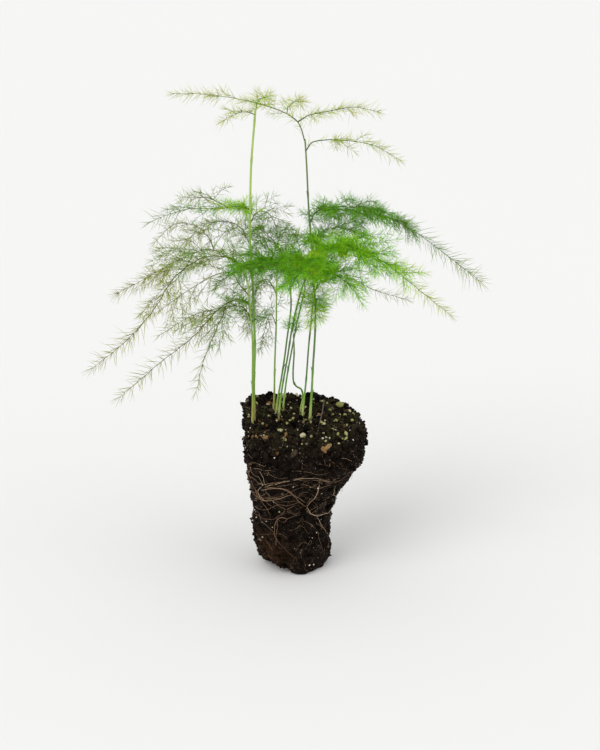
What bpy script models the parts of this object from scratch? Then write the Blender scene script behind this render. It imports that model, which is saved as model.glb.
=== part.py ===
"""Young asparagus fern with its moulded plug of potting soil, standing on the plug's flat foot.

Frame: origin in the middle of the foot, +Z up, -Y is the front. Tables are in millimetres and
degrees; every object is built in metres. A stem, frond or root is one smooth curve through a few
design points.
"""

import bpy
import bmesh
import math
from mathutils import Vector
from mathutils.bvhtree import BVHTree

for thing in list(bpy.data.objects):
    bpy.data.objects.remove(thing, do_unlink=True)

# ---------------------------------------------------------------- driving dimensions, mm
MM = 0.001
GAP = 0.3                  # between pieces that touch
PLUG_SIDES = 40
PLUG_TOP_SLOPE = 0.20      # the soil surface falls towards the front
LEAD = 0.40                # how far a frond's teeth lean towards its tip, in tooth spacings
RACHIS = (0.75, 0.36)      # thickness of a frond along its middle, at its foot and at its tip
STEM_SIDES_RES = 1
BASE_SWELL = 1.20          # a stem is this much thicker where it leaves the crown
BASE_SWELL_LENGTH = 11.0

# the plug is round at its foot and squarish at its top: exponent of each quarter, from the right at the back round
PLUG_QUARTERS = (2.3, 8.0, 3.4, 2.9)
PLUG_SQUARE_FROM, PLUG_SQUARE_TO = 22.0, 41.0
# height, centre x, half width in x, half width in y
PLUG_SECTIONS = [
    (0.0, 1.0, 9.4, 9.2),
    (1.4, 0.7, 10.6, 10.4),
    (4.5, 0.4, 11.4, 11.2),
    (9.5, 0.2, 11.8, 11.6),
    (15.0, 0.1, 12.0, 11.9),
    (20.5, 0.5, 12.5, 12.3),
    (25.5, 1.3, 13.7, 13.2),
    (30.0, 2.5, 15.4, 14.8),
    (34.5, 3.3, 16.5, 16.2),
    (39.0, 4.5, 18.2, 17.8),
    (43.0, 4.3, 18.4, 18.3),
    (46.0, 3.6, 17.8, 17.4),
    (47.6, 2.9, 16.2, 15.4),
    (48.1, 2.6, 10.4, 10.2),
    (47.9, 2.2, 5.2, 5.0),
]
PLUG_TOP = (1.8, 47.9)     # x and height of the middle of the soil surface
CREVICE = (256.0, 9.0, 1.9)        # between the two lobes of the foot: angle, width, depth
RAISED_LOBE = (222.0, 30.0, 3.2)   # the lobe at the left front hangs clear of the floor

# name: centre x, centre y, radius, height of its top, depth in the soil
CROWNS = {
    "crown_left": (-11.8, -0.1, 1.6, 48.2, 6.5),
    "crown_middle": (-4.2, 4.4, 3.3, 49.2, 7.5),
    "crown_right": (4.5, 2.6, 3.4, 49.0, 7.5),
}

# name: crown, radius at the foot, radius at the tip, route
STEMS = {
    "stem_tall_left": ("crown_left", 0.45, 0.34, [
        (-11.4, 0.8, 50), (-11.2, -0.6, 60), (-10.8, -2.8, 74), (-11.0, -3.5, 88), (-11.8, -3.0, 106),
        (-11.7, -2.8, 119), (-10.9, -2.2, 134), (-9.9, -2.0, 145)]),
    "stem_left": ("crown_left", 0.32, 0.26, [
        (-11.7, -1.3, 50), (-11.5, -3.4, 60), (-11.4, -5.6, 75), (-12.0, -6.4, 88), (-12.6, -7.0, 95),
        (-14.5, -8.5, 100)]),
    "stem_back": ("crown_middle", 0.32, 0.24, [
        (-5.3, 6.2, 50), (-4.9, 6.6, 62), (-4.6, 7.4, 74), (-4.2, 8.6, 86), (-4.0, 10.0, 96)]),
    "stem_middle": ("crown_middle", 0.32, 0.26, [
        (-4.4, 3.9, 50), (-3.0, 3.9, 60), (-1.4, 4.0, 71), (0.1, 4.1, 82), (-0.1, 3.5, 89),
        (-0.9, 2.5, 96)]),
    "stem_front": ("crown_middle", 0.32, 0.26, [
        (-3.6, 2.2, 50), (-2.4, 1.0, 60), (-0.8, -1.2, 70), (1.0, -3.8, 82), (3.2, -6.6, 92),
        (5.1, -8.5, 97.5)]),
    "stem_slender": ("crown_middle", 0.30, 0.24, [
        (-2.4, 5.8, 50), (-1.4, 7.6, 58), (0.2, 9.6, 67), (1.9, 11.4, 76), (4.4, 13.5, 86)]),
    "stem_hooked": ("crown_right", 0.32, 0.25, [
        (3.1, 4.6, 50), (3.7, 4.2, 54), (3.3, 2.9, 57.2), (1.9, 0.8, 59), (1.0, -1.4, 61.4),
        (0.8, -3.1, 65.8), (1.0, -5.2, 72), (0.9, -7.0, 78)]),
    "stem_short": ("crown_right", 0.32, 0.26, [
        (3.7, 2.1, 50), (4.6, 2.2, 59), (5.4, 2.8, 70), (6.3, 3.9, 79), (6.7, 4.6, 84)]),
    "stem_tall_right": ("crown_right", 0.38, 0.27, [
        (6.0, 0.5, 50), (6.6, 0.5, 60), (7.2, 0.3, 72), (7.4, 0.2, 85), (6.7, 0.5, 97),
        (5.7, 1.3, 110), (5.1, 2.3, 123), (4.2, 3.4, 135)]),
}

# name: what it grows from, half width, teeth on each side, route
FRONDS = {
    # top storey
    "frond_top_long": ("stem_tall_right", 2.3, 10, [
        (4.2, 3.4, 134.5), (2.9, 3.8, 138.8), (0.4, 4.6, 141.4), (-5, 6.2, 143.6), (-14.5, 8.5, 145.7),
        (-25, 9.8, 147), (-34, 9.6, 147.2)]),
    "frond_top_right": ("frond_top_long", 2.3, 8, [
        (2.3, 4.0, 140.0), (5.4, -0.6, 142.8), (10.3, -5, 144.7), (18, -10.4, 147), (24.4, -14, 146.5)]),
    "frond_top_low": ("stem_tall_right", 2.2, 9, [
        (4.5, 3.2, 131.5), (7, 4.7, 134), (14.5, 9, 133.6), (24.5, 12.6, 131.3), (32.5, 14, 126.6)]),
    "tuft_top_back": ("frond_top_long", 2.3, 5, [
        (-1.0, 5.2, 142.2), (-0.6, 9, 143.3), (0.8, 14, 143.8), (3.8, 20, 143.1)]),
    "tuft_top_left": ("stem_tall_left", 2.1, 5, [
        (-9.9, -2, 143.2), (-12.6, -4.6, 144.6), (-15.6, -8.2, 144.6), (-18.5, -12, 143.6)]),
    "tuft_top_far": ("stem_tall_left", 2.2, 6, [
        (-9.9, -2, 144.2), (-9.3, 2, 146.0), (-8.3, 8, 146.2), (-6.9, 16, 145.1)]),
    # left storey
    "frond_left_upper": ("stem_tall_left", 3.5, 13, [
        (-11.8, -3, 115.5), (-15, 1.5, 115.4), (-21.7, 8, 113), (-30, 15, 111.3), (-37, 19.3, 108.5),
        (-43.8, 22.5, 105)]),
    "spray_left_upper": ("frond_left_upper", 2.7, 8, [
        (-19, 5.6, 114.2), (-21.6, 12, 113.9), (-26, 22, 113), (-34.5, 33, 110.3)]),
    "frond_left_far": ("frond_left_mid", 2.9, 10, [
        (-22.6, -1.2, 102.6), (-24.2, 3.5, 105.0), (-29, 13, 106.5), (-36, 20.5, 104.8), (-42.3, 24, 98.3)]),
    "frond_left_mid": ("stem_left", 3.1, 14, [
        (-12.7, -7, 95.6), (-16.5, -4.4, 100.2), (-24, -1, 102.9), (-33, 0.4, 99.5), (-43, 0.3, 93.8),
        (-51.5, -1, 89.4)]),
    "frond_left_front": ("stem_left", 3.3, 18, [
        (-14.5, -8.5, 100), (-17.4, -11.4, 103.3), (-24.6, -18.4, 105.4), (-32.4, -26, 101.9),
        (-38, -32, 94.3), (-45.3, -37.5, 87), (-54.5, -42, 80.5)]),
    "frond_left_low": ("stem_tall_left", 3.2, 15, [
        (-11.6, -3.8, 86.2), (-15.2, -6.2, 89.2), (-20.9, -13.6, 88.4), (-27.7, -22, 83), (-37, -30, 77.6),
        (-47.6, -38, 70.5)]),
    "spray_left_low": ("frond_left_low", 2.5, 8, [
        (-19.0, -12.4, 88.9), (-19.6, -14.6, 87), (-22, -18.4, 82.4), (-25.2, -22, 75), (-27.2, -24, 66.8)]),
    "frond_left_rear": ("stem_left", 3.1, 12, [
        (-12.3, -6.7, 90.4), (-15.4, -4.4, 93.8), (-17.6, 0.8, 95), (-22.6, 7, 92.8), (-31, 15, 85.8), (-42.1, 21, 76.4)]),
    "frond_left_under": ("stem_tall_left", 2.9, 11, [
        (-11.3, -4, 81.5), (-14.6, -0.4, 85), (-22, 5.2, 82.6), (-31, 10.8, 78.2), (-40.8, 15, 70.8)]),
    "frond_hanging_back": ("stem_back", 2.9, 10, [
        (-4.3, 8.6, 86), (-6.9, 12, 89.6), (-10.2, 16.6, 86.4), (-12.4, 20, 78.6), (-13.9, 22, 68.8)]),
    "spray_hanging": ("stem_back", 2.3, 7, [
        (-4.5, 7.6, 76.4), (-6.1, 9.8, 79.6), (-7.8, 13, 74.4), (-9.3, 15, 66.5)]),
    "frond_arching_back": ("stem_tall_left", 2.9, 11, [
        (-12, -3, 105), (-14.4, 2.6, 108.2), (-19, 11.4, 108.2), (-24.4, 20, 105.2), (-28.7, 26, 99.4)]),
    "frond_over_middle": ("stem_tall_left", 2.7, 10, [
        (-11.9, -3, 111.4), (-9.6, 2.6, 113.4), (-6.4, 11.4, 110.4), (-4.4, 19, 104), (-4, 23, 98.6)]),
    "frond_far_back": ("stem_back", 2.9, 10, [
        (-4.1, 9.6, 93.4), (-6.5, 15.4, 98.4), (-10.4, 24, 100.8), (-18.5, 36, 97)]),
    # middle storey
    "frond_middle_left": ("stem_back", 3.6, 11, [
        (-4, 10, 96), (-6.8, 6.8, 98.4), (-12.3, 0, 98.6), (-21.7, -9.5, 94.6)]),
    "frond_middle_back": ("stem_middle", 3.8, 13, [
        (-0.9, 2.6, 96), (-3, 6.4, 100.4), (-6.6, 14, 103), (-9.2, 24, 103), (-11.1, 35, 99.4)]),
    "frond_middle_front": ("stem_middle", 3.8, 12, [
        (-0.5, 2.9, 93), (-2.6, -2.4, 99.2), (-6.7, -14, 103.4), (-10.3, -22, 103.4), (-14, -29, 100.6)]),
    "frond_front": ("stem_front", 4.0, 13, [
        (5.1, -8.5, 97.5), (5.5, -13.4, 102), (5, -21.5, 104.6), (3.1, -29, 104.4), (-0.4, -37.5, 101.3)]),
    "frond_back": ("stem_slender", 3.9, 13, [
        (4.4, 13.5, 86), (3.8, 18.4, 92.2), (2.4, 26, 97), (1.2, 34, 98), (0.9, 42, 95.4)]),
    # right storey
    "frond_right_upper": ("stem_tall_right", 4.4, 18, [
        (5.7, 1.3, 110.4), (8.6, 5.4, 113.2), (17, 12, 112.6), (28, 14.6, 109.2), (38.4, 12.6, 104.2),
        (48.3, 8.5, 97.6), (57.1, 4, 91.7)]),
    "frond_right_front": ("stem_tall_right", 4.8, 17, [
        (6.5, 0.6, 98.6), (9.6, -4.4, 104.4), (17.8, -14, 107.2), (27, -22.5, 105), (36.3, -29, 99),
        (44.8, -33.5, 93.2)]),
    "frond_right_low": ("stem_short", 3.3, 12, [
        (6.7, 4.6, 84), (9, 8.2, 89.8), (17, 13.6, 90), (26.4, 17, 84.7), (35.9, 18.5, 81.4)]),
    "frond_right_near": ("stem_tall_right", 4.0, 12, [
        (7.2, 0.3, 88.6), (9, -5.4, 96.4), (13.5, -17, 99.6), (17.4, -25, 98.4), (20.5, -31, 95.4)]),
    "frond_right_back": ("stem_tall_right", 4.2, 13, [
        (6.3, 0.8, 102), (8.5, 6.4, 105.2), (14.5, 18, 104.6), (20.4, 26, 100.8), (26, 33, 95.2)]),
    "tuft_middle": ("stem_tall_right", 1.9, 6, [
        (7.4, 0.2, 82.4), (7.9, -3.2, 88), (7.5, -8, 88.6), (7.2, -11, 83.3)]),
    "tuft_hooked": ("stem_hooked", 1.8, 5, [
        (0.9, -7, 78), (0.8, -7.7, 80.2), (1.1, -9.2, 83), (1.5, -10.4, 84.4)]),
}

# name: radius, route over the plug as (angle round it, height); angle 270 faces front
ROOTS = {
    "root_upper_runner": (0.36, [(221, 31.5), (241, 34), (252, 36), (261, 38.4), (271, 39)]),
    "root_middle_runner": (0.36, [(224, 29.6), (237, 31.2), (249, 32), (260, 30.5), (271, 28.2), (282, 26.6)]),
    "root_left_loop": (0.32, [(215, 29.8), (216, 27.2), (226, 25.8), (242, 27.6), (255, 28.6)]),
    "root_right_upper": (0.36, [(278, 36.4), (291, 36.2), (307, 35.8)]),
    "root_wandering": (0.34, [
        (290, 33.7), (291, 30.3), (288.5, 27.4), (286, 24.8), (288, 22.8), (295, 21.7), (312, 20.6), (334, 20.2)]),
    "root_falling": (0.26, [(307, 18.6), (318, 16), (332, 12.6)]),
    "root_low_flat": (0.45, [(246, 20.6), (249, 16.5), (248, 11)]),
    "root_low_runner": (0.28, [(253, 21.8), (262, 23.8), (271, 25.2)]),
}

# name: kind, centre on the soil surface (x, y), radii
GRAINS = {
    "perlite_large": ("perlite", (15.2, 8.6), (1.5, 1.2, 1.0)),
    "perlite_middle": ("perlite", (3.6, -9.0), (1.1, 0.9, 0.8)),
    "perlite_back": ("perlite", (-2.6, 12.2), (1.2, 0.9, 0.9)),
    "bark_chip_left": ("bark", (-7.6, -9.4), (1.7, 1.1, 0.7)),
    "bark_chip_back": ("bark", (-6.6, 10.4), (1.5, 1.2, 0.8)),
}
TWIG = (0.42, [(10.4, 8.4, 2.2), (10.0, 5.0, 1.3), (9.4, 1.0, 1.1), (8.4, -3.6, 1.0)])  # x, y, height above the soil

COLOURS = {
    "soil": ((0.030, 0.019, 0.012), 0.95),
    "crown": ((0.32, 0.33, 0.16), 0.60),
    "stem_pale": ((0.27, 0.42, 0.12), 0.50),
    "stem_dark": ((0.07, 0.16, 0.04), 0.50),
    "foliage": ((0.10, 0.29, 0.045), 0.55),
    "foliage_olive": ((0.16, 0.22, 0.08), 0.60),
    "root": ((0.36, 0.20, 0.095), 0.75),
    "perlite": ((0.62, 0.64, 0.42), 0.85),
    "bark": ((0.26, 0.13, 0.055), 0.85),
}


# ---------------------------------------------------------------- helpers
def material(name):
    found = bpy.data.materials.get(name)
    if found:
        return found
    made = bpy.data.materials.new(name)
    made.use_nodes = True
    shader = made.node_tree.nodes["Principled BSDF"]
    colour, rough = COLOURS[name]
    shader.inputs["Base Color"].default_value = (*colour, 1)
    shader.inputs["Roughness"].default_value = rough
    shader.inputs["Metallic"].default_value = 0.0
    return made


def add(name, mesh_or_curve, slot):
    obj = bpy.data.objects.new(name, mesh_or_curve)
    bpy.context.scene.collection.objects.link(obj)
    obj.data.materials.append(material(slot))
    return obj


def mesh_of(name, points, faces):
    mesh = bpy.data.meshes.new(name)
    mesh.from_pydata([Vector(p) * MM for p in points], [], faces)
    mesh.validate()
    work = bmesh.new()
    work.from_mesh(mesh)
    bmesh.ops.recalc_face_normals(work, faces=work.faces)
    work.to_mesh(mesh)
    work.free()
    return mesh


def smooth_curve(points, step):
    """Points about every step mm along a Catmull-Rom curve through the given ones."""
    pts = [Vector(p) for p in points]
    pts = [2 * pts[0] - pts[1]] + pts + [2 * pts[-1] - pts[-2]]
    fine = []
    for i in range(1, len(pts) - 2):
        a, b, c, d = pts[i - 1:i + 3]
        for k in range(16):
            t = k / 16
            fine.append(0.5 * ((2 * b) + (c - a) * t + (2 * a - 5 * b + 4 * c - d) * t * t
                               + (3 * b - 3 * c + d - a) * t ** 3))
    fine.append(pts[-2])
    lengths = [0.0]
    for p, q in zip(fine, fine[1:]):
        lengths.append(lengths[-1] + (q - p).length)
    count = max(2, round(lengths[-1] / step))
    out, j = [], 0
    for k in range(count + 1):
        want = lengths[-1] * k / count
        while j < len(lengths) - 2 and lengths[j + 1] < want:
            j += 1
        share = (want - lengths[j]) / max(lengths[j + 1] - lengths[j], 1e-9)
        out.append(fine[j].lerp(fine[j + 1], min(max(share, 0), 1)))
    return out


def tube(name, points, radii, slot, sides_res=STEM_SIDES_RES):
    curve = bpy.data.curves.new(name, "CURVE")
    curve.dimensions = "3D"
    curve.bevel_depth = MM
    curve.bevel_resolution = sides_res
    curve.use_fill_caps = True
    curve.resolution_u = 1
    curve.render_resolution_u = 0
    spline = curve.splines.new("POLY")
    spline.points.add(len(points) - 1)
    for slot_point, p, r in zip(spline.points, points, radii):
        slot_point.co = (*(p * MM), 1)
        slot_point.radius = r
    return add(name, curve, slot)


# ---------------------------------------------------------------- soil plug
def section_at(height):
    """Centre x and half widths of the plug at a height on its side."""
    rows = PLUG_SECTIONS[:11]
    if height <= rows[0][0]:
        return rows[0][1:]
    for low, high in zip(rows, rows[1:]):
        if height <= high[0]:
            t = (height - low[0]) / (high[0] - low[0])
            return tuple(a + (b - a) * t for a, b in zip(low[1:], high[1:]))
    return rows[-1][1:]


def lumps(angle, height):
    """Share by which the soil stands proud or short of its section."""
    return (0.022 * math.sin(3 * angle + 0.13 * height + 0.6)
            + 0.020 * math.sin(5 * angle - 0.29 * height + 2.1)
            + 0.014 * math.sin(9 * angle + 0.47 * height)
            + 0.010 * math.sin(14 * angle - 0.9 * height + 1.0))


def bump(angle_deg, centre, width):
    off = (angle_deg - centre + 180) % 360 - 180
    return math.exp(-(off / width) ** 2)


def squareness(angle, height):
    """How much further out the plug reaches than an ellipse would."""
    share = min(max((height - PLUG_SQUARE_FROM) / (PLUG_SQUARE_TO - PLUG_SQUARE_FROM), 0), 1)
    n = 2 + (PLUG_QUARTERS[int(angle % math.tau / (math.pi / 2)) % 4] - 2) * share
    return (abs(math.cos(angle)) ** n + abs(math.sin(angle)) ** n) ** (-1 / n)


def plug_point(angle, row):
    height, cx, hx, hy = row
    grow = (1 + lumps(angle, height)) * squareness(angle, height)
    deg = math.degrees(angle) % 360
    low = max(0.0, 1 - height / 13)
    crevice = CREVICE[2] * bump(deg, CREVICE[0], CREVICE[1]) * low
    x = cx + (hx * grow - crevice) * math.cos(angle)
    y = (hy * grow - crevice) * math.sin(angle)
    lift = RAISED_LOBE[2] * bump(deg, RAISED_LOBE[0], RAISED_LOBE[1]) * max(0.0, 1 - height / 9)
    slope = PLUG_TOP_SLOPE * y * min(max((height - 32) / 12, 0), 1)
    ripple = 0.0
    if height > 46.5:
        ripple = 0.45 * math.sin(0.9 * x + 1.3) * math.cos(0.8 * y)
    return Vector((x, y, height + lift + slope + ripple))


def make_plug():
    points, faces = [Vector((1.0, 0.0, 0.0))], []
    rings = [(0.0, 1.0, 5.2, 5.2)] + PLUG_SECTIONS
    for number, row in enumerate(rings):
        for k in range(PLUG_SIDES):
            angle = math.tau * (k + 0.5) / PLUG_SIDES
            if number == 0:
                points.append(Vector((row[1] + row[2] * math.cos(angle), row[3] * math.sin(angle), 0)))
            else:
                points.append(plug_point(angle, row))
    points.append(Vector((PLUG_TOP[0], 0, PLUG_TOP[1])))
    last = len(points) - 1
    for k in range(PLUG_SIDES):
        nxt = (k + 1) % PLUG_SIDES
        faces.append((0, 1 + nxt, 1 + k))
        for r in range(len(rings) - 1):
            a, b = 1 + r * PLUG_SIDES, 1 + (r + 1) * PLUG_SIDES
            faces.append((a + k, a + nxt, b + nxt, b + k))
        top = 1 + (len(rings) - 1) * PLUG_SIDES
        faces.append((top + k, top + nxt, last))
    return add("soil_plug", mesh_of("soil_plug", points, faces), "soil")


def knob(name, cx, cy, radius, top, depth, grow, sides=14):
    """A crown: a short stump with a rounded rim and a pointed root end. grow makes its socket's cutter."""
    outline = [(0.45, top - depth - grow), (0.85, top - depth * 0.66), (1.0, top - depth * 0.3),
               (0.98, top - 0.7), (0.80, top)]
    if grow:
        outline[-1] = (1.0, top + 6)
    points, faces = [], []
    for share, z in outline:
        for k in range(sides):
            a = math.tau * k / sides
            r = radius * share * (1 + 0.06 * math.sin(3 * a + cx)) + grow
            points.append(Vector((cx + r * math.cos(a), cy + r * math.sin(a), z)))
    for ring in range(len(outline) - 1):
        for k in range(sides):
            nxt = (k + 1) % sides
            a, b = ring * sides, (ring + 1) * sides
            faces.append((a + k, a + nxt, b + nxt, b + k))
    faces.append(tuple(reversed(range(sides))))
    faces.append(tuple(range((len(outline) - 1) * sides, len(outline) * sides)))
    return mesh_of(name, points, faces)


plug = make_plug()
plug_surface = BVHTree.FromPolygons([v.co / MM for v in plug.data.vertices], [tuple(p.vertices) for p in plug.data.polygons])


def soil_height(x, y):
    return plug_surface.ray_cast(Vector((x, y, 80)), Vector((0, 0, -1)))[0].z


for name, (cx, cy, radius, top, depth) in CROWNS.items():
    add(name, knob(name, cx, cy, radius, top, depth, 0.0), "crown")
    cutter = add(name + "_socket", knob(name + "_socket", cx, cy, radius, top, depth, GAP), "crown")
    cutter.hide_render = True
    cutter.display_type = "WIRE"
    cut = plug.modifiers.new(name + "_socket", "BOOLEAN")
    cut.operation = "DIFFERENCE"
    cut.solver = "EXACT"
    cut.object = cutter

# ---------------------------------------------------------------- stems
stem_lines = {}
for name, (crown, foot_radius, tip_radius, route) in STEMS.items():
    start = Vector(route[0])
    start.z = CROWNS[crown][3] + GAP
    line = smooth_curve([start] + route[1:], 6.0)
    length = sum((b - a).length for a, b in zip(line, line[1:]))
    radii, run = [], 0.0
    for i, p in enumerate(line):
        if i:
            run += (p - line[i - 1]).length
        swell = 1 + (BASE_SWELL - 1) * max(0.0, 1 - run / BASE_SWELL_LENGTH)
        radii.append((foot_radius + (tip_radius - foot_radius) * run / length) * swell)
    tube(name, line, radii, "stem_dark" if "right" in name or "middle" in name else "stem_pale")
    stem_lines[name] = (line, radii)


# ---------------------------------------------------------------- fronds
def near_line(point, line, radii):
    """Distance from a point to a stem's surface."""
    best = 1e9
    for (a, ra), (b, rb) in zip(zip(line, radii), zip(line[1:], radii[1:])):
        d = b - a
        t = min(max((point - a).dot(d) / d.dot(d), 0), 1)
        best = min(best, (point - a - d * t).length - (ra + (rb - ra) * t))
    return best


def frond_mesh(name, half_width, teeth, route, parent_line, parent_radii):
    fine = smooth_curve(route, 0.25)
    first = 0
    while near_line(fine[first], parent_line, parent_radii) < GAP + 0.35:
        first += 1
    fine = fine[first:]
    whole = fine[-1] - fine[0]
    heading = Vector((whole.x, whole.y, 0)).normalized()
    last = len(fine) - 1

    def frame(share):
        i = share * last
        j = min(int(i), last - 1)
        p = fine[j].lerp(fine[j + 1], i - j)
        t = (fine[min(j + 2, last)] - fine[max(j - 1, 0)]).normalized()
        ahead = (Vector((t.x, t.y, 0)) + 0.35 * heading)
        side = ahead.cross(Vector((0, 0, 1))).normalized()
        side = (side - t * side.dot(t)).normalized()
        return p, t, side, side.cross(t).normalized()

    points, faces = [], []
    stations = 2 * teeth + 1
    for k in range(stations):
        share = k / (stations - 1)
        p, t, side, up = frame(share)
        shape = (0.30 + 0.70 * math.sin(math.pi * min(1.0, 0.10 + share * 1.15) ** 0.8)) if share < 0.78 else None
        if shape is None:
            knee = 0.30 + 0.70 * math.sin(math.pi * (0.10 + 0.78 * 1.15) ** 0.8)
            shape = knee + (0.26 - knee) * (share - 0.78) / 0.22
        wide = half_width * max(shape, 0.22)
        lead = 0.0
        if k % 2 == 0:
            wide *= 0.30
        else:
            lead = LEAD * 2 * (fine[0] - fine[-1]).length / stations
        thick = (RACHIS[0] + (RACHIS[1] - RACHIS[0]) * share) / 2
        wide = max(wide, thick * 1.05)
        points += [p + side * wide + t * lead, p + up * thick, p - side * wide + t * lead, p - up * thick]
    for k in range(stations - 1):
        for c in range(4):
            d = (c + 1) % 4
            faces.append((4 * k + c, 4 * k + d, 4 * k + 4 + d, 4 * k + 4 + c))
    faces.append((3, 2, 1, 0))
    faces.append(tuple(4 * (stations - 1) + c for c in range(4)))
    return mesh_of(name, points, faces)


frond_lines = {}
for name, (parent, half_width, teeth, route) in FRONDS.items():
    line = smooth_curve(route, 2.0)
    frond_lines[name] = (line, [half_width * 0.62] * len(line))
for name, (parent, half_width, teeth, route) in FRONDS.items():
    line, radii = stem_lines[parent] if parent in stem_lines else frond_lines[parent]
    olive = "left" in name or "hanging" in name or "arching" in name
    add(name, frond_mesh(name, half_width, teeth, route, line, radii), "foliage_olive" if olive else "foliage")


# ---------------------------------------------------------------- roots on the plug's side
def on_plug(angle_deg, height, off):
    """A point that stands off the plug's side by off."""
    seat, normal, _, _ = plug_surface.find_nearest(
        plug_point(math.radians(angle_deg), (height, *section_at(height))))
    return seat + normal * off


for name, (radius, route) in ROOTS.items():
    flat = smooth_curve([(a, z, 0) for a, z in route], 6.0)
    line = smooth_curve([on_plug(p.x, p.y, radius + GAP + 0.1) for p in flat], 1.8)
    radii = [radius * (1.0 - 0.45 * i / (len(line) - 1)) for i in range(len(line))]
    tube(name, line, radii, "root", 1)


# ---------------------------------------------------------------- loose pieces in the soil surface
def pebble(name, slot, centre, radii):
    work = bmesh.new()
    bmesh.ops.create_icosphere(work, subdivisions=2, radius=1.0)
    for v in work.verts:
        n = v.co.normalized()
        rough = 1 + 0.13 * math.sin(4 * n.x + centre[0]) * math.cos(5 * n.y + centre[1]) + 0.10 * math.sin(6 * n.z + n.x)
        v.co = Vector((n.x * radii[0] * rough, n.y * radii[1] * rough, n.z * radii[2] * rough))
        v.co = (v.co + Vector(centre)) * MM
    mesh = bpy.data.meshes.new(name)
    bmesh.ops.recalc_face_normals(work, faces=work.faces)
    work.to_mesh(mesh)
    work.free()
    return add(name, mesh, slot)


for name, (kind, (x, y), radii) in GRAINS.items():
    pebble(name, kind, (x, y, soil_height(x, y) + radii[2] + GAP + 0.15), radii)

twig_line = smooth_curve([(x, y, soil_height(x, y) + h) for x, y, h in TWIG[1]], 2.5)
tube("dead_twig", twig_line, [TWIG[0]] * len(twig_line), "bark", 1)
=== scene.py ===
"""Looks of the fern plug plant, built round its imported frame: needle sprays, wiry stems, and a crumbly
root-bound plug of potting soil. Lengths in the tables are millimetres, in the frame's own axes."""
import math
import zlib

import bpy
import numpy as np
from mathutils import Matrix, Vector, noise
from mathutils.bvhtree import BVHTree


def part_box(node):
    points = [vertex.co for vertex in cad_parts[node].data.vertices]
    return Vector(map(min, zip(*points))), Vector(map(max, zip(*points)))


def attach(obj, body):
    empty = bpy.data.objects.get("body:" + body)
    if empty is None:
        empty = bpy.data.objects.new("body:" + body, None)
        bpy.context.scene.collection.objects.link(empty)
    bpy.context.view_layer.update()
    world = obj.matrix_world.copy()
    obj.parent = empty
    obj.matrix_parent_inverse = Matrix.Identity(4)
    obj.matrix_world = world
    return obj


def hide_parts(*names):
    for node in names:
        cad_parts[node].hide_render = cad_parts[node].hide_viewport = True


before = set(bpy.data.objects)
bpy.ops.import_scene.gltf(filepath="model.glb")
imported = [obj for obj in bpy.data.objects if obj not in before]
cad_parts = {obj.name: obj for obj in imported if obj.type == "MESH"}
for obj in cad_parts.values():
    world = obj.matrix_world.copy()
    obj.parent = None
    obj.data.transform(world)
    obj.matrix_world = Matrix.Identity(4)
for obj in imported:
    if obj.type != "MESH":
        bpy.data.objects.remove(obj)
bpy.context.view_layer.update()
MM = 0.001
TAU = math.tau

# ------------------------------------------------------------------ the design's routes, as in the CAD
PLUG_ROWS = [
    (0.0, 1.0, 0.0, 0.0),
    (0.0, 1.0, 5.2, 5.2),
    (0.0, 1.0, 9.4, 9.2),
    (1.4, 0.7, 10.6, 10.4),
    (4.5, 0.4, 11.4, 11.2),
    (9.5, 0.2, 11.8, 11.6),
    (15.0, 0.1, 12.0, 11.9),
    (20.5, 0.5, 12.5, 12.3),
    (25.5, 1.3, 13.7, 13.2),
    (30.0, 2.5, 15.4, 14.8),
    (34.5, 3.3, 16.5, 16.2),
    (39.0, 4.5, 18.2, 17.8),
    (43.0, 4.3, 18.4, 18.3),
    (46.0, 3.6, 17.8, 17.4),
    (47.6, 2.9, 16.2, 15.4),
    (48.1, 2.6, 10.4, 10.2),
    (47.9, 2.2, 5.2, 5.0),
    (47.9, 1.8, 0.0, 0.0),
]
CREVICE = (256.0, 9.0, 1.9)
RAISED_LOBE = (222.0, 30.0, 3.2)
PLUG_TOP_SLOPE = 0.20
PLUG_QUARTERS = (2.3, 8.0, 3.4, 2.9)
PLUG_SQUARE_FROM, PLUG_SQUARE_TO = 22.0, 41.0

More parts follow.
